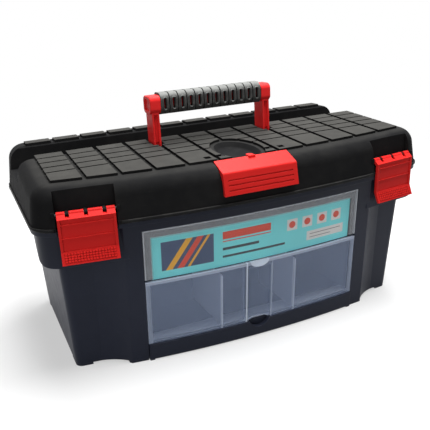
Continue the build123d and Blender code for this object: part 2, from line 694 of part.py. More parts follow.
def front_sheet(x_half, z0, z1, d0, d1):
    """Sheet that follows the bowed, leaning front, from depth d0 to d1 behind it."""
    ya = bay_y(x_half, z0)
    ym = bay_y(0, z0)
    near = ThreePointArc((-x_half, ya + d0), (0, ym + d0), (x_half, ya + d0))
    back = ThreePointArc((-x_half, ya + d1), (0, ym + d1), (x_half, ya + d1))
    ends = [Line((x_half, ya + d0), (x_half, ya + d1)), Line((-x_half, ya + d0), (-x_half, ya + d1))]
    face = Pos(0, 0, z0) * make_face([near, back, *ends])
    return extrude(face, amount=(z1 - z0) * sqrt(1 + SLOPE * SLOPE), dir=(0, -SLOPE, 1))


def base_plan(z):
    """Outline of the tub at height z, scooped at its front corners."""
    x = BASE_X + z * tan(radians(SIDE_DRAFT))
    y1 = BASE_REAR + z * tan(radians(REAR_DRAFT))
    crease = bay_y(BAY_X, z)
    face_y = CORNER_Y - z * SLOPE
    knee = (BAY_X + SCOOP_X, face_y - SCOOP_X / 9)
    middle = (BAY_X + SCOOP_X / 3, (crease + knee[1]) / 2)
    bow = ThreePointArc((-BAY_X, crease), (0, bay_y(0, z)), (BAY_X, crease))
    scoop = ThreePointArc((BAY_X, crease), middle, knee)
    scoop_l = ThreePointArc((-BAY_X, crease), (-middle[0], middle[1]), (-knee[0], knee[1]))
    rest = Polyline(knee, (x, face_y), (x, y1), (-x, y1), (-x, face_y), (-knee[0], knee[1]))
    face = make_face([bow, scoop, scoop_l, *rest.edges()])
    face = fillet(face.vertices().sort_by(Axis.Y)[-2:], REAR_CORNER)
    corner = [v for v in face.vertices() if abs(v.Y - face_y) < PIN_PLAY]
    return Pos(0, 0, z) * fillet(corner, FRONT_CORNER)


def tub_hollow():
    """Inside of the tub behind the front corners."""
    faces = []
    for z in (FOOT_H + WALL, SEAM_Z + BITE):
        x = BASE_X + z * tan(radians(SIDE_DRAFT)) - WALL
        y0 = CORNER_Y - z * SLOPE + WALL
        y1 = BASE_REAR + z * tan(radians(REAR_DRAFT)) - WALL
        plan = RectangleRounded(2 * x, y1 - y0, REAR_CORNER - 2 * WALL)
        faces.append(Pos(0, (y0 + y1) / 2, z) * plan)
    return loft(faces, ruled=True)


def latch_clearance():
    """Room behind the right side latch, through the whole front."""
    x = LATCH_W / 2 + POCKET_SIDE
    return latch_place() * block(-x, x, -2 * REACH_PAST, LATCH_REAR, HOUSING_FOOT, HEIGHT)


def housing(inset):
    """Latch housing at the right front corner, its lower edge swept up along the side."""
    low = HOUSING_FOOT + inset
    top = BASE_TOP + BITE
    front = LID_FRONT + sag(LATCH_X, LID_BOW) + LATCH_SUNK
    y0 = front + POCKET_BACK
    y1 = front + HOUSING_BACK - inset
    body = extrude(Pos(0, 0, low) * lid_plan(LID_BEAD + HOUSING_SUNK + inset), amount=top - low)
    sweep = Spline((0, y0, low), (0, y1, top), tangents=[(0, 1, 0), (0, HOUSING_LEAN, 1)])
    rest = Polyline((0, y1, top), (0, -DEPTH, top), (0, -DEPTH, low), (0, y0, low))
    side = extrude(make_face([sweep, *rest.edges()]), amount=FAR, dir=(1, 0, 0), both=True)
    body = body & side & block(BAY_X - HOUSING_SUNK + inset, LID_X, -DEPTH, 0, 0, HEIGHT)
    face = block(-LID_X, LID_X, -2 * REACH_PAST, LATCH_REAR + inset, 0, HEIGHT)
    return body - latch_place() * face


def feet():
    """Low feet under the corners and the bay strips."""
    pad = extrude(base_plan(0), amount=FOOT_H + BITE)
    corner = block(BASE_X - FOOT_X, LID_X, -DEPTH, CORNER_Y + FOOT_Y, -BITE, HEIGHT)
    rear = block(BASE_X - FOOT_X, LID_X, BASE_REAR - FOOT_Y, DEPTH, -BITE, HEIGHT)
    strip = block(OPEN_X + RUN, BAY_X + FOOT_H, -DEPTH, BAY_END + FOOT_Y, -BITE, HEIGHT)
    return both_sides(pad & (corner + rear + strip))


def drawer_tunnel(grow):
    """Space for the drawer bin, open at the front."""
    x = OPEN_X - BIN_T + grow
    return block(-x, x, -DEPTH, BIN_BACK + RUN + grow, PLINTH_H - grow, WINDOW_Z + grow)


def base_hollows():
    """Everything that is open in the base: tub, shelf, tunnel, label recess and plinth."""
    sill = block(-OPEN_X, OPEN_X, -DEPTH, BIN_BACK + WALL, 0, PLINTH_H)
    tub = tub_hollow() - drawer_tunnel(WALL) - sill
    x = BAY_X - HOUSING_SUNK
    shelf = block(-x, x, -DEPTH, 0, SHELF_Z, SEAM_Z + BITE)
    shelf = shelf & front_sheet(x, 0, SEAM_Z + BITE, CARD_BACK + WALL, DEPTH)
    x = OPEN_X - 2 * WALL
    under = block(-x, x, BAY_END + PLINTH_T, BIN_BACK, -BITE, PLINTH_H - WALL)
    opening = front_sheet(OPEN_X, PLINTH_H, BAY_TOP, -REACH_PAST, CARD_BACK)
    plinth = front_sheet(OPEN_X, -FOOT_H, PLINTH_H + PIN_PLAY, -REACH_PAST, PLINTH_T - PLINTH_PROUD + RUN)
    return [tub, shelf, drawer_tunnel(0), under, opening, plinth, both_sides(housing(WALL))]


def base_shell():
    """Tub with rim flange, latch housings, drawer tunnel and label recess."""
    base = loft([base_plan(FOOT_H), base_plan(BASE_TOP)], ruled=True) + feet()
    base = base + extrude(Pos(0, 0, BASE_TOP) * lid_plan(LID_BEAD + SEAT), amount=FLANGE_T)
    base = base + both_sides(housing(0)) - both_sides(latch_clearance())
    for hollow in base_hollows():
        base = base - hollow
    width = KNUCKLE - KNUCKLE_GAP
    step = (KNUCKLE + width) / 2 + KNUCKLE_GAP
    for x in (-HINGE_X, HINGE_X):
        for end in (-step, step):
            base = base + knuckle(x + end, width, BASE_REAR, BASE_TOP - WALL, FLANGE_TOP)
        base = base - hinge_bore(x)
    ledge = block(-BAY_X, BAY_X, BASE_REAR - 2 * WALL, BASE_REAR + WALL, SHELF_Z - 2 * WALL, SHELF_Z)
    return base + ledge


def front_plinth():
    """Bowed strip under the drawer, with a finger scoop and two feet."""
    x = OPEN_X - RUN
    back = PLINTH_T - PLINTH_PROUD
    strip = front_sheet(x, FOOT_H / 2, PLINTH_H, -PLINTH_PROUD, back)
    middle = x - 2 * FOOT_H
    pads = front_sheet(x, 0, FOOT_H, -PLINTH_PROUD, back)
    pads = pads - block(-middle, middle, -DEPTH, 0, -BITE, 2 * FOOT_H)
    scoop = round_cut(FINGER_X, FINGER_DROP, PLINTH_H, 1)
    scoop = scoop & front_sheet(PULL_R, 0, HEIGHT, -REACH_PAST, FINGER_T - PLINTH_PROUD)
    return strip + pads - scoop


def round_cut(half, rise, z, side):
    """Cylinder from front to back that crosses level z with this half width and rise."""
    radius = (half * half + rise * rise) / (2 * rise)
    return Pos(0, 0, z + side * (radius - rise)) * Rot(90, 0, 0) * Cylinder(radius, 2 * DEPTH)


def label_window():
    """Clear cover over the label card."""
    x = OPEN_X - RUN
    sheet = front_sheet(x, WINDOW_Z, WINDOW_TOP, SEAT, FRONT_T)
    corner = block(x - CARD_EDGE, x + BITE, -DEPTH, 0, WINDOW_Z - BITE, WINDOW_Z + WALL)
    return sheet - both_sides(corner)


def label_card():
    """Blank label card behind the window."""
    d = FRONT_T + SEAT
    return front_sheet(OPEN_X - CARD_EDGE, WINDOW_Z + RUN, WINDOW_TOP - CARD_EDGE, d, d + CARD_T)


def drawer_bin():
    """Clear drawer: bowed front, open bin and centre pull."""
    front = front_sheet(OPEN_X - RUN, DRAWER_Z, DRAWER_TOP, 0, FRONT_T)
    rim = DRAWER_TOP - BIN_DROP
    x = BIN_X - BIN_T
    solid = block(-BIN_X, BIN_X, -DEPTH, BIN_BACK, BIN_Z, rim)
    solid = solid & front_sheet(BIN_X, 0, HEIGHT, FRONT_T - RUN, DEPTH)
    inside = block(-x, x, -DEPTH, BIN_BACK - BIN_T, BIN_Z + BIN_T, rim + BITE)
    inside = inside & front_sheet(BIN_X, 0, HEIGHT, FRONT_T, DEPTH)
    pull = front_sheet(PULL_R + FRONT_T, DRAWER_Z, DRAWER_TOP, 0, PULL_T)
    drawer = front + (solid - inside) + pull
    channel = front_sheet(PULL_R, DRAWER_Z - BITE, rim - BITE, -FRONT_T, CHANNEL_T)
    finger = round_cut(FINGER_X, FINGER_RISE, DRAWER_Z, -1)
    finger = finger & front_sheet(PULL_R, 0, HEIGHT, -REACH_PAST, FINGER_T)
    return drawer - channel - finger - thumb_rest()


def thumb_rest():
    """Shallow ball-shaped rest in the top edge of the drawer front."""
    rim = (THUMB_X * THUMB_X + THUMB_DROP * THUMB_DROP) / (2 * THUMB_DROP)
    ball = (rim * rim + THUMB_T * THUMB_T) / (2 * THUMB_T)
    y = bay_y(0, DRAWER_TOP) - ball + THUMB_T
    return Pos(0, y, DRAWER_TOP + rim - THUMB_DROP) * Sphere(ball)


def drawer_divider():
    """Right loose divider of the drawer."""
    half = DIVIDER_T / 2
    back = BIN_BACK - BIN_T - SEAT
    top = DRAWER_TOP - BIN_DROP - BIN_T
    wall = block(DIVIDER_X - half, DIVIDER_X + half, -DEPTH, back, BIN_Z + BIN_T + SEAT, top)
    return wall & front_sheet(OPEN_X, 0, HEIGHT, FRONT_T + SEAT, DEPTH)


def tote_tray():
    """Lift-out tray with a rib along its middle, notched for the handle."""
    x = TRAY_X
    t = TRAY_T
    outer = block(-x, x, TRAY_Y0, TRAY_Y1, TRAY_Z, TRAY_RIM)
    outer = fillet(outer.edges().filter_by(Axis.Z), TRAY_CORNER)
    inner = block(-x + t, x - t, TRAY_Y0 + t, TRAY_Y1 - t, TRAY_Z + t, TRAY_RIM + BITE)
    inner = fillet(inner.edges().filter_by(Axis.Z), TRAY_CORNER - t)
    rib = block(-x + BITE, x - BITE, TRAY_MID - t / 2, TRAY_MID + t / 2, TRAY_Z + BITE, TRAY_RIM)
    half = TRAY_GRIP_D / 2
    notch = block(-TRAY_GRIP_X, TRAY_GRIP_X, TRAY_MID - half, TRAY_MID + half, TRAY_HAND, TRAY_RIM + BITE)
    return outer - inner + (rib - notch)


def tray_handle():
    """Carrying bar of the tray, on two legs that straddle the rib."""
    x = TRAY_GRIP_X - SEAT
    half = TRAY_GRIP_D / 2
    bar = block(-x, x, TRAY_MID - half, TRAY_MID + half, TRAY_RIM - TRAY_GRIP_H, TRAY_RIM)
    leg = block(x - TRAY_GRIP_D, x, TRAY_MID - half, TRAY_MID + half, TRAY_HAND - half, TRAY_RIM - BITE)
    room = TRAY_T / 2 + SEAT
    slot = block(-FAR, FAR, TRAY_MID - room, TRAY_MID + room, TRAY_Z, TRAY_HAND + SEAT)
    return bar + both_sides(leg) - slot


def hinge_pin(x):
    """One hinge pin."""
    half = 1.5 * KNUCKLE
    return rod_x(HINGE_PIN_R, x - half, x + half, HINGE_Y, HINGE_Z)


def pieces():
    """Every piece of the box by name."""
    latch = latch_place() * side_latch()
    pin = latch_place() * latch_pin()
    arm = handle_arm()
    pivot = handle_pivot()
    divider = drawer_divider()
    return {
        "base_shell": base_shell(),
        "front_plinth": front_plinth(),
        "label_window": label_window(),
        "label_card": label_card(),
        "drawer_bin": drawer_bin(),
        "drawer_divider_left": flip(divider),
        "drawer_divider_right": divider,
        "tote_tray": tote_tray(),
        "tray_handle": tray_handle(),
        "lid_shell": lid_shell(),
        "hinge_pin_left": hinge_pin(-HINGE_X),
        "hinge_pin_right": hinge_pin(HINGE_X),
        "side_latch_left": flip(latch),
        "side_latch_right": latch,
        "latch_pin_left": flip(pin),
        "latch_pin_right": pin,
        "centre_latch": centre_latch(),
        "centre_latch_pin": centre_latch_pin(),
        "handle_arm_left": flip(arm),
        "handle_arm_right": arm,
        "handle_pivot_left": flip(pivot),
        "handle_pivot_right": pivot,
        "handle_core": core_bar(),
        "grip_sleeve": grip_sleeve(),
    }


def main():
    """Write one STEP file per piece."""
    os.makedirs("parts", exist_ok=True)
    for name, shape in pieces().items():
        export_step(shape, f"parts/{name}.step")


main()
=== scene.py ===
"""Looks of a plastic tool box: moulded shells, red latches and handle, clear drawer, label card and stage."""
import json
import math

import bmesh
import bpy
from bpy.props import FloatProperty, FloatVectorProperty, IntProperty, PointerProperty
from mathutils import Matrix, Vector


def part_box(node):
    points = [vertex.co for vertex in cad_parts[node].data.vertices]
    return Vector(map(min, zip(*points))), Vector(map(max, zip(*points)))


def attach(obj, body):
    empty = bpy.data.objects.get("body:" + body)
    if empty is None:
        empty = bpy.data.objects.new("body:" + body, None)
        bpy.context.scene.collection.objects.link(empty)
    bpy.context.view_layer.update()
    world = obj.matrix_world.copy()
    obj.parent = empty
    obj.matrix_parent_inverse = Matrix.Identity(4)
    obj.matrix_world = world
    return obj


bl_info = {
    "name": "Tool Box Looks",
    "version": (1, 0, 0),
    "blender": (4, 5, 0),
    "location": "3D View > Sidebar > Tool Box",
    "description": "Dresses the packed tool box with moulded plastic, clear drawer, label card and stage",
    "category": "Object",
}

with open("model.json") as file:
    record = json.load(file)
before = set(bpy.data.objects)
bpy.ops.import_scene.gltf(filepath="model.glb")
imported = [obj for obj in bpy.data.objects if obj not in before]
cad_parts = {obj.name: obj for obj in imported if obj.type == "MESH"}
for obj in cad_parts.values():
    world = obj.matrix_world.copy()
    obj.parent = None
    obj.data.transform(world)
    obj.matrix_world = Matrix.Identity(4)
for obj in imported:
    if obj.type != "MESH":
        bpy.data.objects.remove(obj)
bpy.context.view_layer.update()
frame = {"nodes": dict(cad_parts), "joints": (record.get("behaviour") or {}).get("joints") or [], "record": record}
NODES = frame["nodes"]
SLOT_COLOUR = {m["slot"]: tuple(m["base_color"][:3]) for m in frame["record"]["materials"]}
STUD_TOP = "stud_top"
WHITE = (1, 1, 1, 1)
UP = Vector((0, 0, 1))
MM = 0.001
MERGE = 0.001 * MM

# Sides and steps of the round pieces
BEAD_SIDES = 12
BEAD_STEPS = 16
CORNER_STEPS = 10
RIM_SIDES = 8
RIM_STEPS = 8
FLOOR_SIDES = 96

# Sizes of the cloudy patterns in the materials
CLOUD = 90 * MM
MOTTLE = 12 * MM
SCUFF = 3 * MM
RED_CLOUD = 30 * MM
FINE = 4 * MM
BLOOM = 6 * MM
PORES = 0.6 * MM
CLEAR_CLOUD = 50 * MM
CARD_CLOUD = 60 * MM
FIBRE = 0.9 * MM
TARNISH = 6 * MM
DRAWN = 0.4 * MM

# Edges, heights and blurs of the fine finishes
BLUR = 0.15 * MM
CLEAR_EDGE = 0.8 * MM
CLEAR_DEPTH = 0.003 * MM
DIVIDER_EDGE = 0.7 * MM
FRONT_BLUR = 0.3 * MM
CARD_EDGE = 0.1 * MM
FIBRE_DEPTH = 0.01 * MM
PIN_EDGE = 0.2 * MM
DRAWN_DEPTH = 0.01 * MM

# Finishes that several materials share
# Strength of the painted shade in grooves and corners
GROOVE_SHADE = 0.75
RED_ROUGH = 0.36
RED_SPREAD = 0.14
RED_SPECULAR = 0.05
CLEAR_IOR = 1.49

# Layout of the card: left, right, foot and top in millimetres from its lower left corner
CARD_PANEL = (10, 66, 8, 40)
CARD_BLANK = (178, 228, 8, 19)
CARD_HEADS = ((76, 132, 31, 39.5), (76, 132, 28, 29.2))
CARD_LINES = ((76, 118, 18.5, 21.5), (76, 150, 10, 12.5), (182, 224, 15, 15.6), (182, 210, 11, 11.6))
CARD_TILE = (152, 165, 25, 38)
CARD_TILES = 4
CARD_PITCH = 19.5
CARD_SPOT = 4
SPOT_BLUR = 0.15
CARD_FADE = 600

# Stripes on the card's panel: start and width in millimetres, colour
CARD_STRIPES = ((12, 7, "card_warm"), (24, 7, "card_accent"), (33, 3, "card_warm"))
STRIPE_LEAN = 0.7
STRIPE_BLUR = 0.2

# Camera
SENSOR = 36
CLIP_START = 0.05
CLIP_END = 20


def colour_prop(name, slot_or_colour, description):
    """A colour setting, by default the record's colour of a slot."""
    default = SLOT_COLOUR.get(slot_or_colour, slot_or_colour)
    return FloatVectorProperty(name=name, description=description, subtype="COLOR", size=3,
                               min=0, max=1, default=default)


def length_prop(name, millimetres, description):
    """A length setting, given in millimetres."""
    return FloatProperty(name=name, description=description, unit="LENGTH", default=millimetres * MM)


def lengths_prop(name, millimetres, description):
    """A place or a size of several lengths, given in millimetres."""
    default = tuple(length * MM for length in millimetres)
    return FloatVectorProperty(name=name, description=description, subtype="XYZ", unit="LENGTH",
                               size=len(default), default=default)


def angle_prop(name, degrees, description):
    """An angle setting, given in degrees."""
    return FloatProperty(name=name, description=description, subtype="ANGLE", default=math.radians(degrees))


def share_prop(name, default, description):
    """A setting from 0 to 1."""
    return FloatProperty(name=name, description=description, subtype="FACTOR", min=0, max=1, default=default)


def power_prop(name, watts, description):
    """The power of a lamp."""
    return FloatProperty(name=name, description=description, unit="POWER", default=watts)


class BoxColours(bpy.types.PropertyGroup):
    """Colours of the mouldings and the card."""
    shell: colour_prop("Base", (0.015, 0.018, 0.031), "Moulded tub and plinth")
    # Pale colour of the tub's mottling, wear and dust, also of its painted edge highlights and painted top sheen
    shell_pale: colour_prop("Base, pale", (0.06, 0.066, 0.092), "Rubbed places of the tub")
    lid: colour_prop("Lid", (0.0115, 0.0115, 0.012), "Moulded lid")
    # Pale colour of the lid's dust and wear, also of the painted sheen on its tile tops and its painted edge
    # highlights
    lid_pale: colour_prop("Lid, pale", (0.085, 0.083, 0.076), "Dusty, rubbed places of the lid")
    red: colour_prop("Red", "red_plastic", "Latches")
    # The handle's red is a brighter copy of the latches' red, painted lighter to stand in for top light on the
    # handle
    handle: colour_prop("Handle", (0.8, 0.028, 0.028), "Handle arms and the bar in the grip")
    # Pale red of the painted highlights along the red edges, and of the cloudy tone on the stud tops
    red_pale: colour_prop("Red, pale", (0.9, 0.035, 0.03), "Rubbed edges of the red pieces")
    grip: colour_prop("Grip", (0.05, 0.051, 0.05), "Soft grip rings")
    # Pale grey of the grip's bloom and of the painted top light on its upper side
    grip_pale: colour_prop("Grip, pale", (0.24, 0.245, 0.235), "Bloom on the soft grip")
    clear: colour_prop("Clear", (0.34, 0.43, 0.64), "Frosted drawer and dividers")
    # Pale colour of the thick places of the clear plastic and of the painted highlights along its edges
    clear_pale: colour_prop("Clear, pale", (0.82, 0.88, 0.96), "Thick places and edges of the clear plastic")
    window: colour_prop("Window", (0.22, 0.225, 0.245), "Frosted border of the label window")
    card: colour_prop("Card", (0.2, 0.78, 0.82), "Printed ground of the label card")
    card_accent: colour_prop("Card accent", (0.75, 0.07, 0.03), "Bars and spots on the card")
    card_deep: colour_prop("Card panel", (0.03, 0.06, 0.14), "Dark panel on the card")
    card_warm: colour_prop("Card stripe", (0.9, 0.45, 0.03), "Warm stripes on the card")
    card_field: colour_prop("Card field", (0.85, 0.85, 0.83), "Blank fields on the card")
    card_ink: colour_prop("Card ink", (0.02, 0.03, 0.04), "Dark lines on the card")
    card_fibre: colour_prop("Card fibre", (0.9, 0.9, 0.9), "Pale fibres of the card")
    steel: colour_prop("Pins", "pin_steel", "Drawn wire pins")
    tray: colour_prop("Tray", "tray_red", "Lift-out tray")
    # Pale colour of the tray's mottling, wear and dust, also of its painted edge highlights and painted top sheen
    tray_pale: colour_prop("Tray, pale", (0.605, 0.0525, 0.0486), "Rubbed places of the tray")


class BoxFinish(bpy.types.PropertyGroup):
    """Moulded surface of the plastics."""
    grain: length_prop("Grain", 1.1, "Size of the moulded grain")
    depth: length_prop("Grain depth", 0.05, "Height of the moulded grain")
    edge: length_prop("Edge", 0.7, "Rounding of the moulded edges")
    # Strength of the paler edges: wear, and a painted highlight along the edges
    wear_and_highlight: share_prop("Wear", 0.5, "Rubbing along the edges")
    # Painted shade on the tub under the lid's rim: its darkness, and where it begins and where it is thickest
    painted_shade: share_prop("Grime", 0.65, "Darkness of the tub under the lid's rim")
    shade_start: share_prop("Grime start", 0.55, "Where the grime begins, as a share of the seam's height")
    shade_full: share_prop("Grime full", 0.95, "Where the grime is thickest, as a share of the seam's height")
    haze: share_prop("Haze", 0.28, "How much the clear plastic hides")


class BoxLid(bpy.types.PropertyGroup):
    """Tiles and rim of the lid."""
    tile: length_prop("Tile", 2.0, "Height of the tiles")
    level: length_prop("Field level", 205.0, "Height of the tiled field at its front corners")
    level_y: length_prop("Field front", -86.0, "Depth of the field's front corners")
    tilt: angle_prop("Field tilt", 3.9, "Rise of the tiled field to the rear")
    # Dust and painted top sheen between the tiles, as a share of that on the tiles
    plain_dust_and_sheen: share_prop("Plain dust", 0.3, "Dust between the tiles, as a share of that on them")
    seam: length_prop("Seam", 161.8, "Height of the lid's lower edge")
    bead: length_prop("Bead", 3.5, "Height of the bead along the rim")
    bulge: length_prop("Bulge", 0.9, "How far the bead stands out")
    bow: length_prop("Bow", 1070.0, "Plan radius of the lid's front")
    corner: length_prop("Corner", 28.0, "Plan radius of the front corners")
    sweep: angle_prop("Corner sweep", 72.0, "How far the bead runs round a front corner")
    latch_gap: length_prop("Latch gap", 146.0, "Half length of the front between the side latches")
    bead_end: share_prop("Bead end", 0.85, "Rear end of the bead, as a share of the latches' depth")


class BoxDrawer(bpy.types.PropertyGroup):
    """Thick places of the clear drawer, and the rim of the label window."""
    bow: length_prop("Bow", 1080.0, "Plan radius of the drawer front")
    slope: angle_prop("Slope", 5.8, "Lean of the drawer front")
    wall: length_prop("Wall", 3.0, "Thickness of the drawer front")
    rim: length_prop("Rim", 3.6, "Height of the thicker upper edge")
    rim_pale: share_prop("Rim, pale", 0.35, "How pale the upper edge is")
    end: length_prop("End", 4.6, "Width of the thicker ends")
    end_pale: share_prop("End, pale", 0.22, "How pale the ends are")
    line: length_prop("Line", 0.9, "Half width of the pale lines at the pull and the dividers")
    seat_pale: share_prop("Seat, pale", 0.4, "How pale the lines at the dividers are")
    pull: length_prop("Pull", 15.2, "Middle of the drawer to the edge of its pull")
    pull_pale: share_prop("Pull, pale", 0.25, "How pale the edges of the pull are")
    # Extra painted highlight on the left edge of the pull
    pull_left_highlight: share_prop("Pull, left", 0.45, "How much paler the left edge of the pull is")
    thumb_x: length_prop("Thumb rest", 11.5, "Half width of the thumb rest")
    thumb_z: length_prop("Thumb rest height", 7.3, "Height of the thumb rest")
    thumb_pale: share_prop("Thumb rest, pale", 0.6, "How pale the thumb rest is")
    floor: length_prop("Floor", 2.8, "Height of the drawer's floor")
    floor_pale: share_prop("Floor, pale", 0.6, "How pale the floor is in front of its step")
    step: length_prop("Floor step", -88.0, "Depth of the step in the drawer's floor")
    step_pale: share_prop("Step, pale", 0.4, "How pale the line at the step is")
    divider_pale: share_prop("Divider, pale", 0.45, "How pale the dividers are")
    # The pale rim of the label window is a painted highlight
    window_highlight_rim: length_prop("Window rim", 1.2, "Width of the pale rim of the label window")
    open_foot: length_prop("Open foot", 2.0, "How far the window's border is open below its foot")


class BoxGrip(bpy.types.PropertyGroup):
    """Slots of the soft grip."""
    rings: IntProperty(name="Rings", description="Rings along the grip", default=12, min=1)
    rim: length_prop("Rim", 0.8, "Radius of the raised rim round a slot")
    reach: length_prop("Rim reach", 2.3, "Middle of a slot to the middle of its rim")
    run: length_prop("Rim run", 4.6, "Half length of a rim's straight sides")
    sink: length_prop("Sink", 0.15, "How deep the rim is let into the grip")
    # Reach of the painted shade between the rings
    groove_shade: length_prop("Groove", 2.2, "Reach of the dark grooves between the rings")


class BoxStuds(bpy.types.PropertyGroup):
    """Studded field on the grip of a side latch."""
    columns: IntProperty(name="Columns", description="Studs along the latch", default=17, min=2)
    rows: IntProperty(name="Rows", description="Studs down the grip", default=4, min=2)
    width: length_prop("Width", 49.0, "Length of the studded field")
    rise: length_prop("Rise", 0.7, "Height of a stud")
    slope: length_prop("Slope", 0.65, "Width of a stud's sloping side")
    sink: length_prop("Sink", 0.4, "Thickness of the sheet under the studs")
    proud: length_prop("Proud", 0.05, "How far that sheet stands out of the grip")
    crease_out: length_prop("Crease, out", 5.2, "Latch pin forward to the grip's upper edge")
    crease_drop: length_prop("Crease, drop", 36.3, "Latch pin down to the grip's upper edge")
    foot_out: length_prop("Foot, out", 9.4, "Latch pin forward to the grip's foot")
    foot_drop: length_prop("Foot, drop", 48.1, "Latch pin down to the grip's foot")
    top_edge: length_prop("Top edge", 0.8, "Plain edge above the studs")
    foot_edge: length_prop("Foot edge", 2.2, "Plain edge below the studs")


class BoxStage(bpy.types.PropertyGroup):
    """Camera, lamps and floor."""
    azimuth: angle_prop("Azimuth", -20.9, "Camera turn")
    elevation: angle_prop("Elevation", 17.28, "Camera height")
    roll: angle_prop("Roll", -3.95, "Camera roll")
    distance: length_prop("Distance", 846.4, "Camera to its aim")
    aim: lengths_prop("Aim", (8.1, 110.0, 97.3), "Point on the optical axis")
    lens: FloatProperty(name="Lens", description="Focal length", unit="CAMERA", default=50.35)
    shift: FloatVectorProperty(name="Shift", description="Lens shift", size=2, default=(0.0665, -0.0328))
    ambient: share_prop("Ambient", 0.11, "Light of the room on matt surfaces")
    key: power_prop("Key", 44.0, "Power of the top softbox")
    key_size: lengths_prop("Key size", (1200, 900), "Size of the top softbox")
    key_spot: lengths_prop("Key place", (200, 40, 1250), "Place of the top softbox")
    key_aim: lengths_prop("Key aim", (0, 0, 150), "Where the top softbox points")
    side: power_prop("Side", 4.5, "Power of the left softbox")
    side_size: lengths_prop("Side size", (800, 500), "Size of the left softbox")
    side_spot: lengths_prop("Side place", (-1000, -900, 400), "Place of the left softbox")
    side_aim: lengths_prop("Side aim", (0, 0, 120), "Where the left softbox points")
    floor: colour_prop("Floor", (0.82, 0.82, 0.82), "Pale floor")
    floor_dim: colour_prop("Floor, dim", (0.28, 0.28, 0.28), "Floor as it lights the box from below")
    floor_glow: share_prop("Floor glow", 0.5, "How white the floor is by itself")
    floor_radius: length_prop("Floor radius", 1200.0, "Radius of the floor")
    floor_drop: length_prop("Floor drop", 0.2, "Gap under the box's feet")
    fade_start: length_prop("Fade start", 550.0, "Radius at which the floor begins to fade")
    fade_end: length_prop("Fade end", 1100.0, "Radius at which the floor is gone")


class Value:
    """A shader socket; sums with it add Math nodes."""

    def __init__(self, finish, socket):
        self.finish = finish
        self.socket = socket

    def out(self, name):
        """Another output of the same node."""
        return Value(self.finish, self.socket.node.outputs[name])

    def math(self, operation, first, second=0.0):
        """A Math node on two values."""
        return self.finish.node("ShaderNodeMath", {"operation": operation}, {0: first, 1: second})

    def __add__(self, other):
        return self.math("ADD", self, other)

    __radd__ = __add__

    def __sub__(self, other):
        return self.math("SUBTRACT", self, other)

    def __rsub__(self, other):
        return self.math("SUBTRACT", other, self)

    def __mul__(self, other):
        return self.math("MULTIPLY", self, other)

    __rmul__ = __mul__

    def __truediv__(self, other):
        return self.math("DIVIDE", self, other)

    def __lt__(self, other):
        return self.math("LESS_THAN", self, other)

    def __abs__(self):
        return self.math("ABSOLUTE", self)

    def __pow__(self, other):
        return self.math("POWER", self, other)

    def max(self, other):
        """The larger of two values."""
        return self.math("MAXIMUM", self, other)

    def min(self, other):
        """The smaller of two values."""
        return self.math("MINIMUM", self, other)

    def about(self, middle, spread):
        """Lays a pattern round a middle value."""
        return middle + (self - 0.5) * spread

    def within(self, reach, soft=BLUR):
        """1 where the value is nearer to 0 than reach."""
        return (reach - abs(self)).ramp(-soft, soft)

    def ramp(self, low, high):
        """0 below low, 1 above high, smooth between."""
        return self.finish.node("ShaderNodeMapRange", {"interpolation_type": "SMOOTHSTEP"},
                                {"Value": self, "From Min": low, "From Max": high})


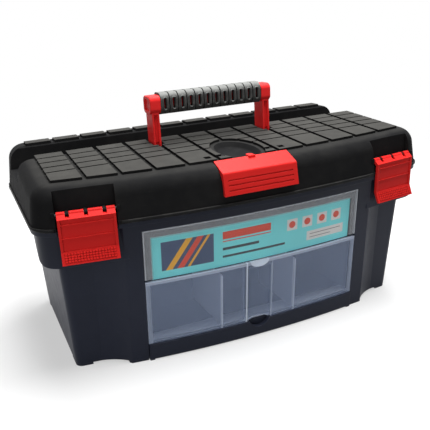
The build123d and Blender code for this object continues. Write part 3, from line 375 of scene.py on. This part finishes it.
class Finish:
    """A material built from nodes."""

    def __init__(self, name, tree=None):
        if tree is None:
            self.material = bpy.data.materials.new(name)
            self.material.use_nodes = True
            tree = self.material.node_tree
        self.tree = tree
        self.tree.nodes.clear()

    def node(self, kind, settings=None, sockets=None, out=0):
        """Adds a node: its settings first, then the values or links of its sockets."""
        made = self.tree.nodes.new(kind)
        for key, value in (settings or {}).items():
            setattr(made, key, value)
        for key, value in (sockets or {}).items():
            if isinstance(value, Value):
                self.tree.links.new(value.socket, made.inputs[key])
            else:
                made.inputs[key].default_value = value
        return Value(self, made.outputs[out] if len(made.outputs) else None)

    def place(self):
        """Object coordinates, in metres."""
        return self.node("ShaderNodeTexCoord", out="Object")

    def axes(self):
        """x, y and z of the object coordinates."""
        split = self.node("ShaderNodeSeparateXYZ", sockets={0: self.place()})
        return split, split.out(1), split.out(2)

    def noise(self, size, detail=2.0, stretch=(1, 1, 1), turn=(0, 0, 0)):
        """Cloudy noise with features of about this size."""
        spot = self.node("ShaderNodeMapping", {}, {0: self.place(), "Rotation": turn, "Scale": stretch})
        return self.node("ShaderNodeTexNoise", {}, {"Vector": spot, "Scale": 1 / size, "Detail": detail})

    def mix(self, first, second, factor):
        """Colour between two colours."""
        colours = {6: rgba(first), 7: rgba(second), 0: factor}
        return self.node("ShaderNodeMix", {"data_type": "RGBA"}, colours, out=2)

    def covered(self, reach, inside):
        """How much of the surroundings the piece itself covers, from outside it or from inside."""
        settings = {"inside": inside, "only_local": True, "samples": 6}
        return 1 - self.node("ShaderNodeAmbientOcclusion", settings, {"Distance": reach}, out="AO")

    def edge_wear_and_highlight(self, reach):
        """1 on outer edges, 0 on flats."""
        return self.covered(reach, inside=True).ramp(0.12, 0.6)

    def sheltered(self, reach):
        """1 in corners and grooves, 0 in the open."""
        return self.covered(reach, inside=False).ramp(0.2, 0.9)

    def upward(self):
        """1 on faces that look up, 0 on upright ones."""
        normal = self.node("ShaderNodeNewGeometry", out="Normal")
        return self.node("ShaderNodeSeparateXYZ", {}, {0: normal}).out(2)

    def inside(self, x0, x1, z0, z1):
        """1 inside an upright rectangle, given in metres."""
        x, _, z = self.axes()
        wide = (x - (x0 + x1) / 2).within((x1 - x0) / 2)
        return wide * (z - (z0 + z1) / 2).within((z1 - z0) / 2)

    def seen(self):
        """1 for the eye, reflections and clear plastic, 0 for scattered light."""
        path = self.node("ShaderNodeLightPath", out="Is Camera Ray")
        return path.max(path.out("Is Glossy Ray")).max(path.out("Is Transmission Ray"))

    def normal(self, edge, heights):
        """Rounded edges with the given (height, depth in metres) laid over them."""
        bent = self.node("ShaderNodeBevel", {"samples": 6}, {"Radius": edge})
        for height, depth in heights:
            sockets = {"Strength": 1.0, "Distance": depth, "Height": height, "Normal": bent}
            bent = self.node("ShaderNodeBump", {}, sockets)
        return bent

    def close(self, **sockets):
        """Ends in a Principled shader with these sockets."""
        named = {key.replace("_", " "): value for key, value in sockets.items()}
        shader = self.node("ShaderNodeBsdfPrincipled", {}, named)
        self.node("ShaderNodeOutputMaterial", {}, {"Surface": shader})
        return self.material


def rgba(colour):
    """A colour with its alpha, or a link as it is."""
    return colour if isinstance(colour, Value) else (*colour, 1.0)


def shade(colour, share):
    """A darker or brighter colour of the same hue."""
    return [min(1, c * share) for c in colour]


def paint(material, *names):
    """Gives CAD nodes a material."""
    for name in names:
        slots = NODES[name].data.materials
        slots.clear()
        slots.append(material)


def make_object(name, mesh, material):
    """An object from a bmesh, in the scene."""
    data = bpy.data.meshes.new(name)
    mesh.to_mesh(data)
    mesh.free()
    data.materials.append(material)
    made = bpy.data.objects.new(name, data)
    bpy.context.scene.collection.objects.link(made)
    return made


def new_piece(name, mesh, material, body):
    """A finished piece from a bmesh, riding on a body."""
    piece = make_object(name, mesh, material)
    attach(piece, body)


def joint(name):
    """A joint of the packed record."""
    return next(j for j in frame["joints"] if j["name"] == name)


def verts_of(geom):
    """The vertices in an operator's result."""
    return [g for g in geom if isinstance(g, bmesh.types.BMVert)]


def edges_of(geom):
    """The edges in an operator's result."""
    return [g for g in geom if isinstance(g, bmesh.types.BMEdge)]


def faces_of(geom):
    """The faces in an operator's result."""
    return [g for g in geom if isinstance(g, bmesh.types.BMFace)]


def whole(mesh):
    """Everything in a bmesh."""
    return mesh.verts[:] + mesh.edges[:] + mesh.faces[:]


def drawn_out(mesh, edges, length):
    """Draws edges out along y and gives the edges at the new end."""
    moved = bmesh.ops.extrude_edge_only(mesh, edges=edges)["geom"]
    bmesh.ops.translate(mesh, vec=(0, length, 0), verts=verts_of(moved))
    return edges_of(moved)


def standing(x_axis, y_axis, z_axis, spot):
    """Matrix that sets a shape on three axes at a place."""
    turn = Matrix((x_axis, y_axis, z_axis)).transposed().to_4x4()
    turn.translation = spot
    return turn


def moulded(name, colour, pale, rough, specular, dust_and_sheen, where=None, wear_and_highlight=1.0, painted_shade=None):
    """Grained plastic, rubbed along its edges, dusty where it faces up and darker in its grooves."""
    look = bpy.context.scene.box_finish
    f = Finish(name)
    if where:
        dust_and_sheen = dust_and_sheen * where(f)
    cloud = f.noise(CLOUD, 3)
    mottle = f.noise(MOTTLE, 4)
    grain = f.noise(look.grain, 2)
    scuff = f.noise(SCUFF, 3, stretch=(0.12, 1, 1), turn=(0, 0, 0.5)).ramp(0.6, 0.78)
    # Paler where it faces up: dust, and a painted sheen standing in for the top light
    dust_and_top_sheen = f.upward().ramp(0.6, 1.0) * (0.82 + mottle.ramp(0.3, 0.8) * 0.18) * dust_and_sheen
    # Paler along outer edges: wear, and a painted highlight where edges catch light
    edge_wear_and_highlight = f.edge_wear_and_highlight(look.edge * 2) * mottle.ramp(0.35, 0.6) * (look.wear_and_highlight * wear_and_highlight)
    # Painted shade: darker in grooves and corners, from ambient occlusion
    groove_shade = f.sheltered(look.edge * 6).ramp(0, 0.6)
    # Extra painted shade, such as that under the lid's rim
    if painted_shade:
        groove_shade = groove_shade.max(painted_shade(f))
    tone = (cloud * 0.2 + mottle * 0.12 + dust_and_top_sheen + edge_wear_and_highlight + scuff * 0.06 - 0.14).max(0).min(1)
    body = f.mix(f.mix(colour, pale, tone), shade(colour, 0.25), groove_shade * GROOVE_SHADE)
    rough_here = cloud.about(mottle.about(rough, 0.16), 0.1) - edge_wear_and_highlight * 0.08
    bent = f.normal(look.edge, [(mottle, look.depth), (grain, look.depth)])
    return f.close(Base_Color=body, Roughness=rough_here, Specular_IOR_Level=specular, Normal=bent)


def shade_under_lid(f):
    """Grime that thickens up the tub, to the lid's rim."""
    seam = bpy.context.scene.box_lid.seam
    look = bpy.context.scene.box_finish
    _, _, z = f.axes()
    return z.ramp(seam * look.shade_start, seam * look.shade_full) * look.painted_shade


class DressBase(bpy.types.Operator):
    """Moulded black tub and plinth"""
    bl_idname = "toolbox.dress_base"
    bl_label = "Dress Base"

    def execute(self, context):
        colours = context.scene.box_colours
        # The tub gets painted shade that darkens it under the lid's rim
        black = moulded("moulded_black", colours.shell, colours.shell_pale,
                        rough=0.45, specular=0.12, dust_and_sheen=0.15, painted_shade=shade_under_lid)
        paint(black, "base_shell", "front_plinth")
        return {"FINISHED"}


def tile_tops(f):
    """1 on the lid's tiles, less on the plain moulding between them, 0 in the dish."""
    lid = bpy.context.scene.box_lid
    _, y, z = f.axes()
    field = (y - lid.level_y) * math.tan(lid.tilt) + lid.level
    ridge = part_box("lid_shell")[1].z - lid.tile
    plain = (z - field).ramp(-2 * lid.tile, -lid.tile / 2) * lid.plain_dust_and_sheen
    return (z - field.min(ridge)).ramp(lid.tile * 0.4, lid.tile * 0.8).max(plain)


def rim_bead():
    """Rounded bead along the lid's rim: the front between the side latches, the corners and the sides."""
    lid = bpy.context.scene.box_lid
    low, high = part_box("lid_shell")
    level = lid.seam + lid.bead / 2
    bow_mid = Vector((0, low.y + lid.bow, level))
    corner_x = high.x - lid.corner
    corner_y = bow_mid.y - math.sqrt((lid.bow - lid.corner) ** 2 - corner_x ** 2)
    mesh = bmesh.new()

    def section(spot, along):
        """Oval section of the bead, square to its run."""
        ring = bmesh.ops.create_circle(mesh, segments=BEAD_SIDES, radius=1)["verts"]
        bmesh.ops.scale(mesh, vec=(lid.bulge, lid.bead / 2, 1), verts=ring)
        bmesh.ops.transform(mesh, matrix=standing(along.cross(UP), UP, along, spot), verts=ring)
        return list({edge for vert in ring for edge in vert.link_edges})

    def turned(edges, centre, angle, steps):
        """Runs the section round an upright axis."""
        bmesh.ops.spin(mesh, geom=edges, cent=centre, axis=UP, angle=angle, steps=steps)

    middle = section(Vector((0, low.y, level)), Vector((1, 0, 0)))
    turned(middle, bow_mid, math.asin(lid.latch_gap / lid.bow), BEAD_STEPS)
    rear = Vector((high.x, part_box("side_latch_right")[1].y * -lid.bead_end, level))
    front = drawn_out(mesh, section(rear, Vector((0, 1, 0))), corner_y - rear.y)
    turned(front, Vector((corner_x, corner_y, level)), -lid.sweep, CORNER_STEPS)
    bmesh.ops.mirror(mesh, geom=whole(mesh), axis="X", merge_dist=MERGE)
    bmesh.ops.remove_doubles(mesh, verts=mesh.verts, dist=MERGE)
    bmesh.ops.holes_fill(mesh, edges=mesh.edges)
    bmesh.ops.recalc_face_normals(mesh, faces=mesh.faces)
    for face in mesh.faces:
        face.smooth = len(face.verts) == 4
    return mesh


class DressLid(bpy.types.Operator):
    """Moulded charcoal lid with a bead along its rim"""
    bl_idname = "toolbox.dress_lid"
    bl_label = "Dress Lid"

    def execute(self, context):
        colours = context.scene.box_colours
        # Dust and a painted sheen on the tile tops, where the top light grazes them
        charcoal = moulded("moulded_charcoal", colours.lid, colours.lid_pale,
                           rough=0.5, specular=0.006, dust_and_sheen=0.47, where=tile_tops, wear_and_highlight=0.15)
        paint(charcoal, "lid_shell")
        rim = moulded("moulded_rim", colours.lid, colours.lid_pale, rough=0.4, specular=0.04, dust_and_sheen=0.3)
        new_piece("lid_rim_bead", rim_bead(), rim, "lid")
        return {"FINISHED"}


def red_plastic(name, colour):
    """Satin red moulding with paler edges and darker grooves."""
    pale = bpy.context.scene.box_colours.red_pale
    look = bpy.context.scene.box_finish
    f = Finish(name)
    cloud = f.noise(RED_CLOUD, 3)
    fine = f.noise(FINE, 3)
    grain = f.noise(look.grain * 0.6, 2)
    # Painted highlight along the edges
    edge_wear_and_highlight = f.edge_wear_and_highlight(look.edge * 1.5)
    # Painted shade in the grooves
    groove_shade = f.sheltered(look.edge * 4)
    body = f.mix(colour, pale, cloud.about(edge_wear_and_highlight * look.wear_and_highlight, 0.25).max(0))
    body = f.mix(body, shade(colour, 0.4), groove_shade * GROOVE_SHADE)
    rough = fine.about(RED_ROUGH, RED_SPREAD) + groove_shade * 0.1
    bent = f.normal(look.edge, [(fine, look.depth * 0.4), (grain, look.depth * 0.4)])
    return f.close(Base_Color=body, Roughness=rough, Specular_IOR_Level=RED_SPECULAR, Normal=bent)


def red_studs(name):
    """Red plastic of the studs, darker in the grooves between them."""
    colours = bpy.context.scene.box_colours
    f = Finish(name)
    cloud = f.noise(RED_CLOUD, 3)
    fine = f.noise(FINE, 3)
    top = f.node("ShaderNodeAttribute", {"attribute_name": STUD_TOP}, out="Fac")
    raised = f.mix(colours.red, colours.red_pale, cloud * 0.5)
    # Painted shade: the sheet between the studs is a darker red
    body = f.mix(shade(colours.red, 0.55), raised, top)
    rough = fine.about(RED_ROUGH, RED_SPREAD)
    return f.close(Base_Color=body, Roughness=rough, Specular_IOR_Level=RED_SPECULAR)


def stud_field(side):
    """Sheet of small sloping studs on a side latch's grip."""
    studs = bpy.context.scene.box_studs
    hinge = joint(f"{side}_latch_swing")
    across = -Vector(hinge["axis"])
    front = across.cross(UP)
    pin = Vector(hinge["pos_m"])
    crease = pin + front * studs.crease_out - UP * studs.crease_drop
    foot = pin + front * studs.foot_out - UP * studs.foot_drop
    down = (foot - crease).normalized()
    out = across.cross(-down)
    field = (foot - crease).length - studs.top_edge - studs.foot_edge
    centre = crease + down * (studs.top_edge + field / 2)
    mesh = bmesh.new()
    height_layer = mesh.verts.layers.float.new(STUD_TOP)
    bmesh.ops.create_grid(mesh, x_segments=studs.columns, y_segments=studs.rows, size=0.5)
    bmesh.ops.scale(mesh, vec=(studs.width, field, 1), verts=mesh.verts)
    sheet = bmesh.ops.extrude_face_region(mesh, geom=list(mesh.faces))["geom"]
    bmesh.ops.translate(mesh, vec=(0, 0, studs.sink), verts=verts_of(sheet))
    tops = faces_of(sheet)
    bmesh.ops.inset_individual(mesh, faces=tops, thickness=studs.slope, depth=studs.rise)
    for vert in {v for face in tops for v in face.verts}:
        vert[height_layer] = 1.0
    bmesh.ops.recalc_face_normals(mesh, faces=mesh.faces)
    turn = standing(across, -down, out, centre - out * (studs.sink - studs.proud))
    bmesh.ops.transform(mesh, matrix=turn, verts=mesh.verts)
    return mesh


class DressLatches(bpy.types.Operator):
    """Red latches with studded grips"""
    bl_idname = "toolbox.dress_latches"
    bl_label = "Dress Latches"

    def execute(self, context):
        smooth = red_plastic("red_satin", context.scene.box_colours.red)
        studded = red_studs("red_studded")
        paint(smooth, "side_latch_left", "side_latch_right", "centre_latch")
        for side in ("left", "right"):
            new_piece(f"grip_studs_{side}", stud_field(side), studded, f"{side}_latch")
        return {"FINISHED"}


def slot_rims():
    """Raised rims round the slots of the soft grip, front and back."""
    grip = bpy.context.scene.box_grip
    low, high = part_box("grip_sleeve")
    pitch = (high.x - low.x) / grip.rings
    mesh = bmesh.new()

    def half_turn(edges, end):
        """Takes the rim's section round a slot's end."""
        spun = bmesh.ops.spin(mesh, geom=edges, cent=(0, end, 0), axis=UP, angle=math.pi, steps=RIM_STEPS)
        return edges_of(spun["geom_last"])

    ring = bmesh.ops.create_circle(mesh, segments=RIM_SIDES, radius=grip.rim)["verts"]
    turn = Matrix.Translation((grip.reach, -grip.run, 0)) @ Matrix.Rotation(math.pi / 2, 4, "X")
    bmesh.ops.transform(mesh, matrix=turn, verts=ring)
    edges = drawn_out(mesh, list(mesh.edges), 2 * grip.run)
    edges = half_turn(edges, grip.run)
    edges = drawn_out(mesh, edges, -2 * grip.run)
    half_turn(edges, -grip.run)
    bmesh.ops.remove_doubles(mesh, verts=mesh.verts, dist=MERGE)
    pattern = whole(mesh)
    height = (low.z + high.z) / 2
    for k in range(grip.rings):
        across = low.x + pitch * (k + 0.5)
        for depth, turned in ((low.y + grip.sink, math.pi / 2), (high.y - grip.sink, -math.pi / 2)):
            copy = bmesh.ops.duplicate(mesh, geom=pattern)["geom"]
            place = Matrix.Translation((across, depth, height)) @ Matrix.Rotation(turned, 4, "X")
            bmesh.ops.transform(mesh, matrix=place, verts=verts_of(copy))
    bmesh.ops.delete(mesh, geom=verts_of(pattern), context="VERTS")
    bmesh.ops.recalc_face_normals(mesh, faces=mesh.faces)
    for face in mesh.faces:
        face.smooth = True
    return mesh


def soft_grip():
    """Soft grey grip, paler where it faces up and dark between its rings."""
    colours = bpy.context.scene.box_colours
    look = bpy.context.scene.box_finish
    f = Finish("soft_grip")
    bloom = f.noise(BLOOM, 4)
    pores = f.noise(PORES, 2)
    # Painted shade between the rings
    groove_shade = f.sheltered(bpy.context.scene.box_grip.groove_shade)
    # Bloom, and painted top light on the upper side
    bloom_and_top_light = bloom.ramp(0.3, 0.75) * 0.2 + f.upward().ramp(0.1, 0.9) * 0.5
    tone = f.mix(colours.grip, colours.grip_pale, bloom_and_top_light)
    tone = f.mix(tone, shade(colours.grip, 0.15), groove_shade * 0.85)
    bent = f.normal(look.edge * 1.4, [(bloom, look.depth), (pores, look.depth)])
    return f.close(Base_Color=tone, Roughness=bloom.about(0.62, 0.2), Specular_IOR_Level=0.12, Normal=bent)


class DressHandle(bpy.types.Operator):
    """Red handle arms and soft grey grip"""
    bl_idname = "toolbox.dress_handle"
    bl_label = "Dress Handle"

    def execute(self, context):
        # The handle's red is painted brighter than the latches' red, standing in for top light
        red = red_plastic("red_handle", context.scene.box_colours.handle)
        paint(red, "handle_arm_left", "handle_arm_right", "handle_core")
        soft = soft_grip()
        paint(soft, "grip_sleeve")
        new_piece("grip_slot_rims", slot_rims(), soft, "handle")
        return {"FINISHED"}


def frosted(f, colour, haze, thick):
    """Frosted clear plastic, paler and less clear where it is thick and along its edges."""
    pale = bpy.context.scene.box_colours.clear_pale
    cloud = f.noise(CLEAR_CLOUD, 3)
    fine = f.noise(FINE, 3)
    # Painted highlight along the edges: paler and less clear there
    edge = f.edge_wear_and_highlight(CLEAR_EDGE)
    body = f.mix(colour, pale, (edge * 0.8).max(thick))
    alpha = (cloud.about(haze, 0.1) + thick + edge * 0.5).max(0).min(1)
    bent = f.normal(bpy.context.scene.box_finish.edge, [(fine, CLEAR_DEPTH)])
    return f.close(Base_Color=body, Roughness=fine.about(0.3, 0.08), Alpha=alpha, Normal=bent, IOR=CLEAR_IOR)


def drawer_thick(f):
    """Thick places of the drawer: rim, ends, pull, thumb rest, dividers' seats and the step of its floor."""
    drawer = bpy.context.scene.box_drawer
    low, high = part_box("drawer_bin")
    seat_low, seat_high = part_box("drawer_divider_right")
    x, y, z = f.axes()
    side = abs(x)
    drop = high.z - z
    depth = y - low.y - x ** 2 / (2 * drawer.bow) - drop * math.tan(drawer.slope)
    front = (drawer.wall * 1.1 - depth).ramp(0, FRONT_BLUR)
    rim = drop.within(drawer.rim) * drawer.rim_pale
    ends = (high.x - side).within(drawer.end) * drawer.end_pale
    seats = (side - (seat_low.x + seat_high.x) / 2).within(drawer.line) * (z < seat_high.z) * drawer.seat_pale
    # Pale edges of the pull, with an extra painted highlight on the left one
    pull = (side - drawer.pull).within(drawer.line) * ((x < 0) * drawer.pull_left_highlight + drawer.pull_pale)
    thumb = 1 - (x / drawer.thumb_x) ** 2 - (drop / drawer.thumb_z) ** 2
    thumb = thumb.ramp(-0.1, 0.1) * drawer.thumb_pale
    floor = (z - low.z).within(drawer.floor) * (1 - front)
    step = (y - drawer.step).within(drawer.line) * drawer.step_pale + (y < drawer.step) * drawer.floor_pale
    return (front * rim.max(ends).max(seats).max(pull).max(thumb)).max(floor * step)


def window_thick(f, haze):
    """Frosted border round the card and pale rim round the window, both open at the foot."""
    drawer = bpy.context.scene.box_drawer
    low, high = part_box("label_card")
    border = 1 - f.inside(low.x, high.x, low.z - drawer.open_foot, high.z)
    low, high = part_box("label_window")
    edge = drawer.window_highlight_rim
    # Painted highlight along the window's outer edges
    rim = 1 - f.inside(low.x + edge, high.x - edge, low.z - drawer.open_foot, high.z - edge)
    return border * haze * 1.1 + rim * 0.3


class DressDrawer(bpy.types.Operator):
    """Frosted drawer, dividers and label window"""
    bl_idname = "toolbox.dress_drawer"
    bl_label = "Dress Drawer"

    def execute(self, context):
        colours = context.scene.box_colours
        haze = context.scene.box_finish.haze
        f = Finish("frosted_drawer")
        paint(frosted(f, colours.clear, haze, drawer_thick(f)), "drawer_bin")
        f = Finish("frosted_divider")
        pale = context.scene.box_drawer.divider_pale
        # Dividers paler by their own share, with a painted highlight along their edges
        divider = frosted(f, colours.clear, haze, f.edge_wear_and_highlight(DIVIDER_EDGE) * 0.4 + pale)
        paint(divider, "drawer_divider_left", "drawer_divider_right")
        f = Finish("frosted_window")
        paint(frosted(f, colours.window, haze * 0.2, window_thick(f, haze)), "label_window")
        return {"FINISHED"}


class CardPrint(Finish):
    """Finish of the label card, with places in millimetres from its lower left corner."""

    def __init__(self, name):
        super().__init__(name)
        self.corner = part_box("label_card")[0]
        x, _, z = self.axes()
        self.across = (x - self.corner.x) / MM
        self.up = (z - self.corner.z) / MM

    def bar(self, left, right, foot, top):
        """1 inside a rectangle."""
        x, _, z = self.corner
        return self.inside(x + left * MM, x + right * MM, z + foot * MM, z + top * MM)

    def bars(self, fields):
        """1 inside any of these rectangles."""
        mask = self.bar(*fields[0])
        for field in fields[1:]:
            mask = mask.max(self.bar(*field))
        return mask

    def spot(self, x, z, radius):
        """1 inside a round spot."""
        return (((self.across - x) ** 2 + (self.up - z) ** 2) ** 0.5).within(radius, SPOT_BLUR)

    def stripe(self, start, width):
        """1 inside a leaning stripe."""
        return (self.across - self.up * STRIPE_LEAN - start).within(width / 2, STRIPE_BLUR)


def printed_card():
    """Teal card with a striped panel, plain bars, tiles with spots and a blank field."""
    colours = bpy.context.scene.box_colours
    f = CardPrint("printed_card")
    fibre = f.noise(FIBRE, 3)
    cloud = f.noise(CARD_CLOUD, 2)
    tone = f.mix(colours.card, shade(colours.card, 1.15), cloud * 0.6 + f.across / CARD_FADE)
    panel = f.bar(*CARD_PANEL)
    tone = f.mix(tone, colours.card_deep, panel)
    for start, width, colour in CARD_STRIPES:
        tone = f.mix(tone, getattr(colours, colour), panel * f.stripe(start, width))
    blank = f.bar(*CARD_BLANK)
    accent = f.bars(CARD_HEADS)
    left, right, foot, top = CARD_TILE
    for k in range(CARD_TILES):
        along = CARD_PITCH * k
        blank = blank.max(f.bar(left + along, right + along, foot, top))
        accent = accent.max(f.spot((left + right) / 2 + along, (foot + top) / 2, CARD_SPOT))
    tone = f.mix(tone, colours.card_field, blank)
    tone = f.mix(tone, colours.card_accent, accent)
    tone = f.mix(tone, colours.card_ink, f.bars(CARD_LINES))
    tone = f.mix(tone, colours.card_fibre, fibre.ramp(0.6, 0.9) * 0.06)
    bent = f.normal(CARD_EDGE, [(fibre, FIBRE_DEPTH)])
    return f.close(Base_Color=tone, Roughness=fibre.about(0.42, 0.15), Normal=bent)


class PrintCard(bpy.types.Operator):
    """Teal label card with a striped panel, plain bars, spots and blank fields"""
    bl_idname = "toolbox.print_card"
    bl_label = "Print Card"

    def execute(self, context):
        paint(printed_card(), "label_card")
        return {"FINISHED"}


def drawn_steel():
    """Dull steel wire, streaked along its length."""
    steel = bpy.context.scene.box_colours.steel
    f = Finish("drawn_steel")
    streak = f.noise(DRAWN, 3, stretch=(0.02, 1, 1))
    tarnish = f.noise(TARNISH, 3)
    tone = f.mix(shade(steel, 0.1), shade(steel, 0.05), tarnish.ramp(0.45, 0.8))
    bent = f.normal(PIN_EDGE, [(streak, DRAWN_DEPTH)])
    return f.close(Base_Color=tone, Metallic=1.0, Roughness=0.26 + streak * 0.2, Normal=bent)


class DressInside(bpy.types.Operator):
    """Lift-out tray and drawn steel pins"""
    bl_idname = "toolbox.dress_inside"
    bl_label = "Dress Inside"

    def execute(self, context):
        colours = context.scene.box_colours
        tray = moulded("moulded_tray", colours.tray, colours.tray_pale, rough=0.45, specular=0.15, dust_and_sheen=0.2)
        paint(tray, "tote_tray", "tray_handle")
        pins = [n for n in NODES if n.endswith("_pin") or "_pin_" in n or "pivot" in n]
        paint(drawn_steel(), *pins)
        return {"FINISHED"}


def softbox(name, power, size, spot, aim):
    """Large soft lamp."""
    data = bpy.data.lights.new(name, "AREA")
    data.energy = power
    data.shape = "RECTANGLE"
    data.size, data.size_y = size
    lamp = bpy.data.objects.new(name, data)
    lamp.location = spot
    lamp.rotation_euler = (Vector(aim) - Vector(spot)).to_track_quat("-Z", "Y").to_euler()
    bpy.context.scene.collection.objects.link(lamp)


def pale_floor(stage):
    """Floor that fades into the white room."""
    f = Finish("pale_floor")
    x, y, _ = f.axes()
    fade = ((x ** 2 + y ** 2) ** 0.5).ramp(stage.fade_start, stage.fade_end)
    tone = f.mix(stage.floor_dim, stage.floor, f.seen())
    matt = f.node("ShaderNodeBsdfPrincipled", {},
                  {"Base Color": tone, "Roughness": 0.9, "Specular IOR Level": 0.0})
    glow = f.node("ShaderNodeEmission", {}, {"Color": WHITE, "Strength": 1.0})
    ground = f.node("ShaderNodeMixShader", {}, {0: f.seen() * stage.floor_glow, 1: matt, 2: glow})
    away = f.node("ShaderNodeBsdfTransparent")
    shader = f.node("ShaderNodeMixShader", {}, {0: fade, 1: ground, 2: away})
    f.node("ShaderNodeOutputMaterial", {}, {"Surface": shader})
    mesh = bmesh.new()
    bmesh.ops.create_circle(mesh, cap_ends=True, segments=FLOOR_SIDES, radius=stage.floor_radius)
    floor = make_object("floor", mesh, f.material)
    floor.location.z = -stage.floor_drop


def white_room(ambient):
    """World that is white to the eye and in reflections, and dimmer on matt surfaces."""
    world = bpy.data.worlds.new("white_room")
    world.use_nodes = True
    bpy.context.scene.world = world
    f = Finish("white_room", world.node_tree)
    strength = f.seen() * (1 - ambient) + ambient
    light = f.node("ShaderNodeBackground", {}, {"Color": WHITE, "Strength": strength})
    f.node("ShaderNodeOutputWorld", {}, {"Surface": light})


def photo_camera(stage):
    """Camera at the photograph's place."""
    az, el, roll = stage.azimuth, stage.elevation, stage.roll
    back = Vector((math.sin(az) * math.cos(el), -math.cos(az) * math.cos(el), math.sin(el)))
    right = (-back).cross(UP).normalized()
    up = right.cross(-back)
    tilted = right * math.cos(roll) + up * math.sin(roll)
    upright = up * math.cos(roll) - right * math.sin(roll)
    data = bpy.data.cameras.new("camera")
    data.sensor_width = SENSOR
    data.lens = stage.lens
    data.shift_x, data.shift_y = stage.shift
    data.clip_start = CLIP_START
    data.clip_end = CLIP_END
    camera = bpy.data.objects.new("camera", data)
    camera.matrix_world = standing(tilted, upright, back, Vector(stage.aim) + back * stage.distance)
    bpy.context.scene.collection.objects.link(camera)
    bpy.context.scene.camera = camera


class SetStage(bpy.types.Operator):
    """Floor, room light, softboxes and camera"""
    bl_idname = "toolbox.set_stage"
    bl_label = "Set Stage"

    def execute(self, context):
        stage = context.scene.box_stage
        context.scene.view_settings.view_transform = "Standard"
        pale_floor(stage)
        white_room(stage.ambient)
        softbox("top_softbox", stage.key, stage.key_size, stage.key_spot, stage.key_aim)
        softbox("left_softbox", stage.side, stage.side_size, stage.side_spot, stage.side_aim)
        photo_camera(stage)
        return {"FINISHED"}


GROUPS = {"box_colours": BoxColours, "box_finish": BoxFinish, "box_lid": BoxLid, "box_drawer": BoxDrawer,
          "box_grip": BoxGrip, "box_studs": BoxStuds, "box_stage": BoxStage}
OPERATORS = (DressBase, DressLid, DressLatches, DressHandle, DressDrawer, PrintCard, DressInside, SetStage)


class ToolBoxPanel(bpy.types.Panel):
    """Sidebar panel with the tool box's steps"""
    bl_idname = "VIEW3D_PT_tool_box"
    bl_label = "Tool Box"
    bl_space_type = "VIEW_3D"
    bl_region_type = "UI"
    bl_category = "Tool Box"

    def draw(self, context):
        for kind in OPERATORS:
            self.layout.operator(kind.bl_idname)
        for name, group in GROUPS.items():
            column = self.layout.column(heading=group.__doc__)
            for key in group.__annotations__:
                column.prop(getattr(context.scene, name), key)


def register():
    """Adds the settings, operators and panel to Blender."""
    for kind in (*GROUPS.values(), *OPERATORS, ToolBoxPanel):
        bpy.utils.register_class(kind)
    for name, group in GROUPS.items():
        setattr(bpy.types.Scene, name, PointerProperty(type=group))


def unregister():
    """Takes them out again."""
    for name in GROUPS:
        delattr(bpy.types.Scene, name)
    for kind in (ToolBoxPanel, *OPERATORS, *GROUPS.values()):
        bpy.utils.unregister_class(kind)


def main():
    """Dresses the box, sets the stage and notes both boxes' corners."""
    register()
    bpy.ops.toolbox.dress_base()
    bpy.ops.toolbox.dress_lid()
    bpy.ops.toolbox.dress_latches()
    bpy.ops.toolbox.dress_handle()
    bpy.ops.toolbox.dress_drawer()
    bpy.ops.toolbox.print_card()
    bpy.ops.toolbox.dress_inside()
    bpy.ops.toolbox.set_stage()


if __name__ == "__main__":
    main()
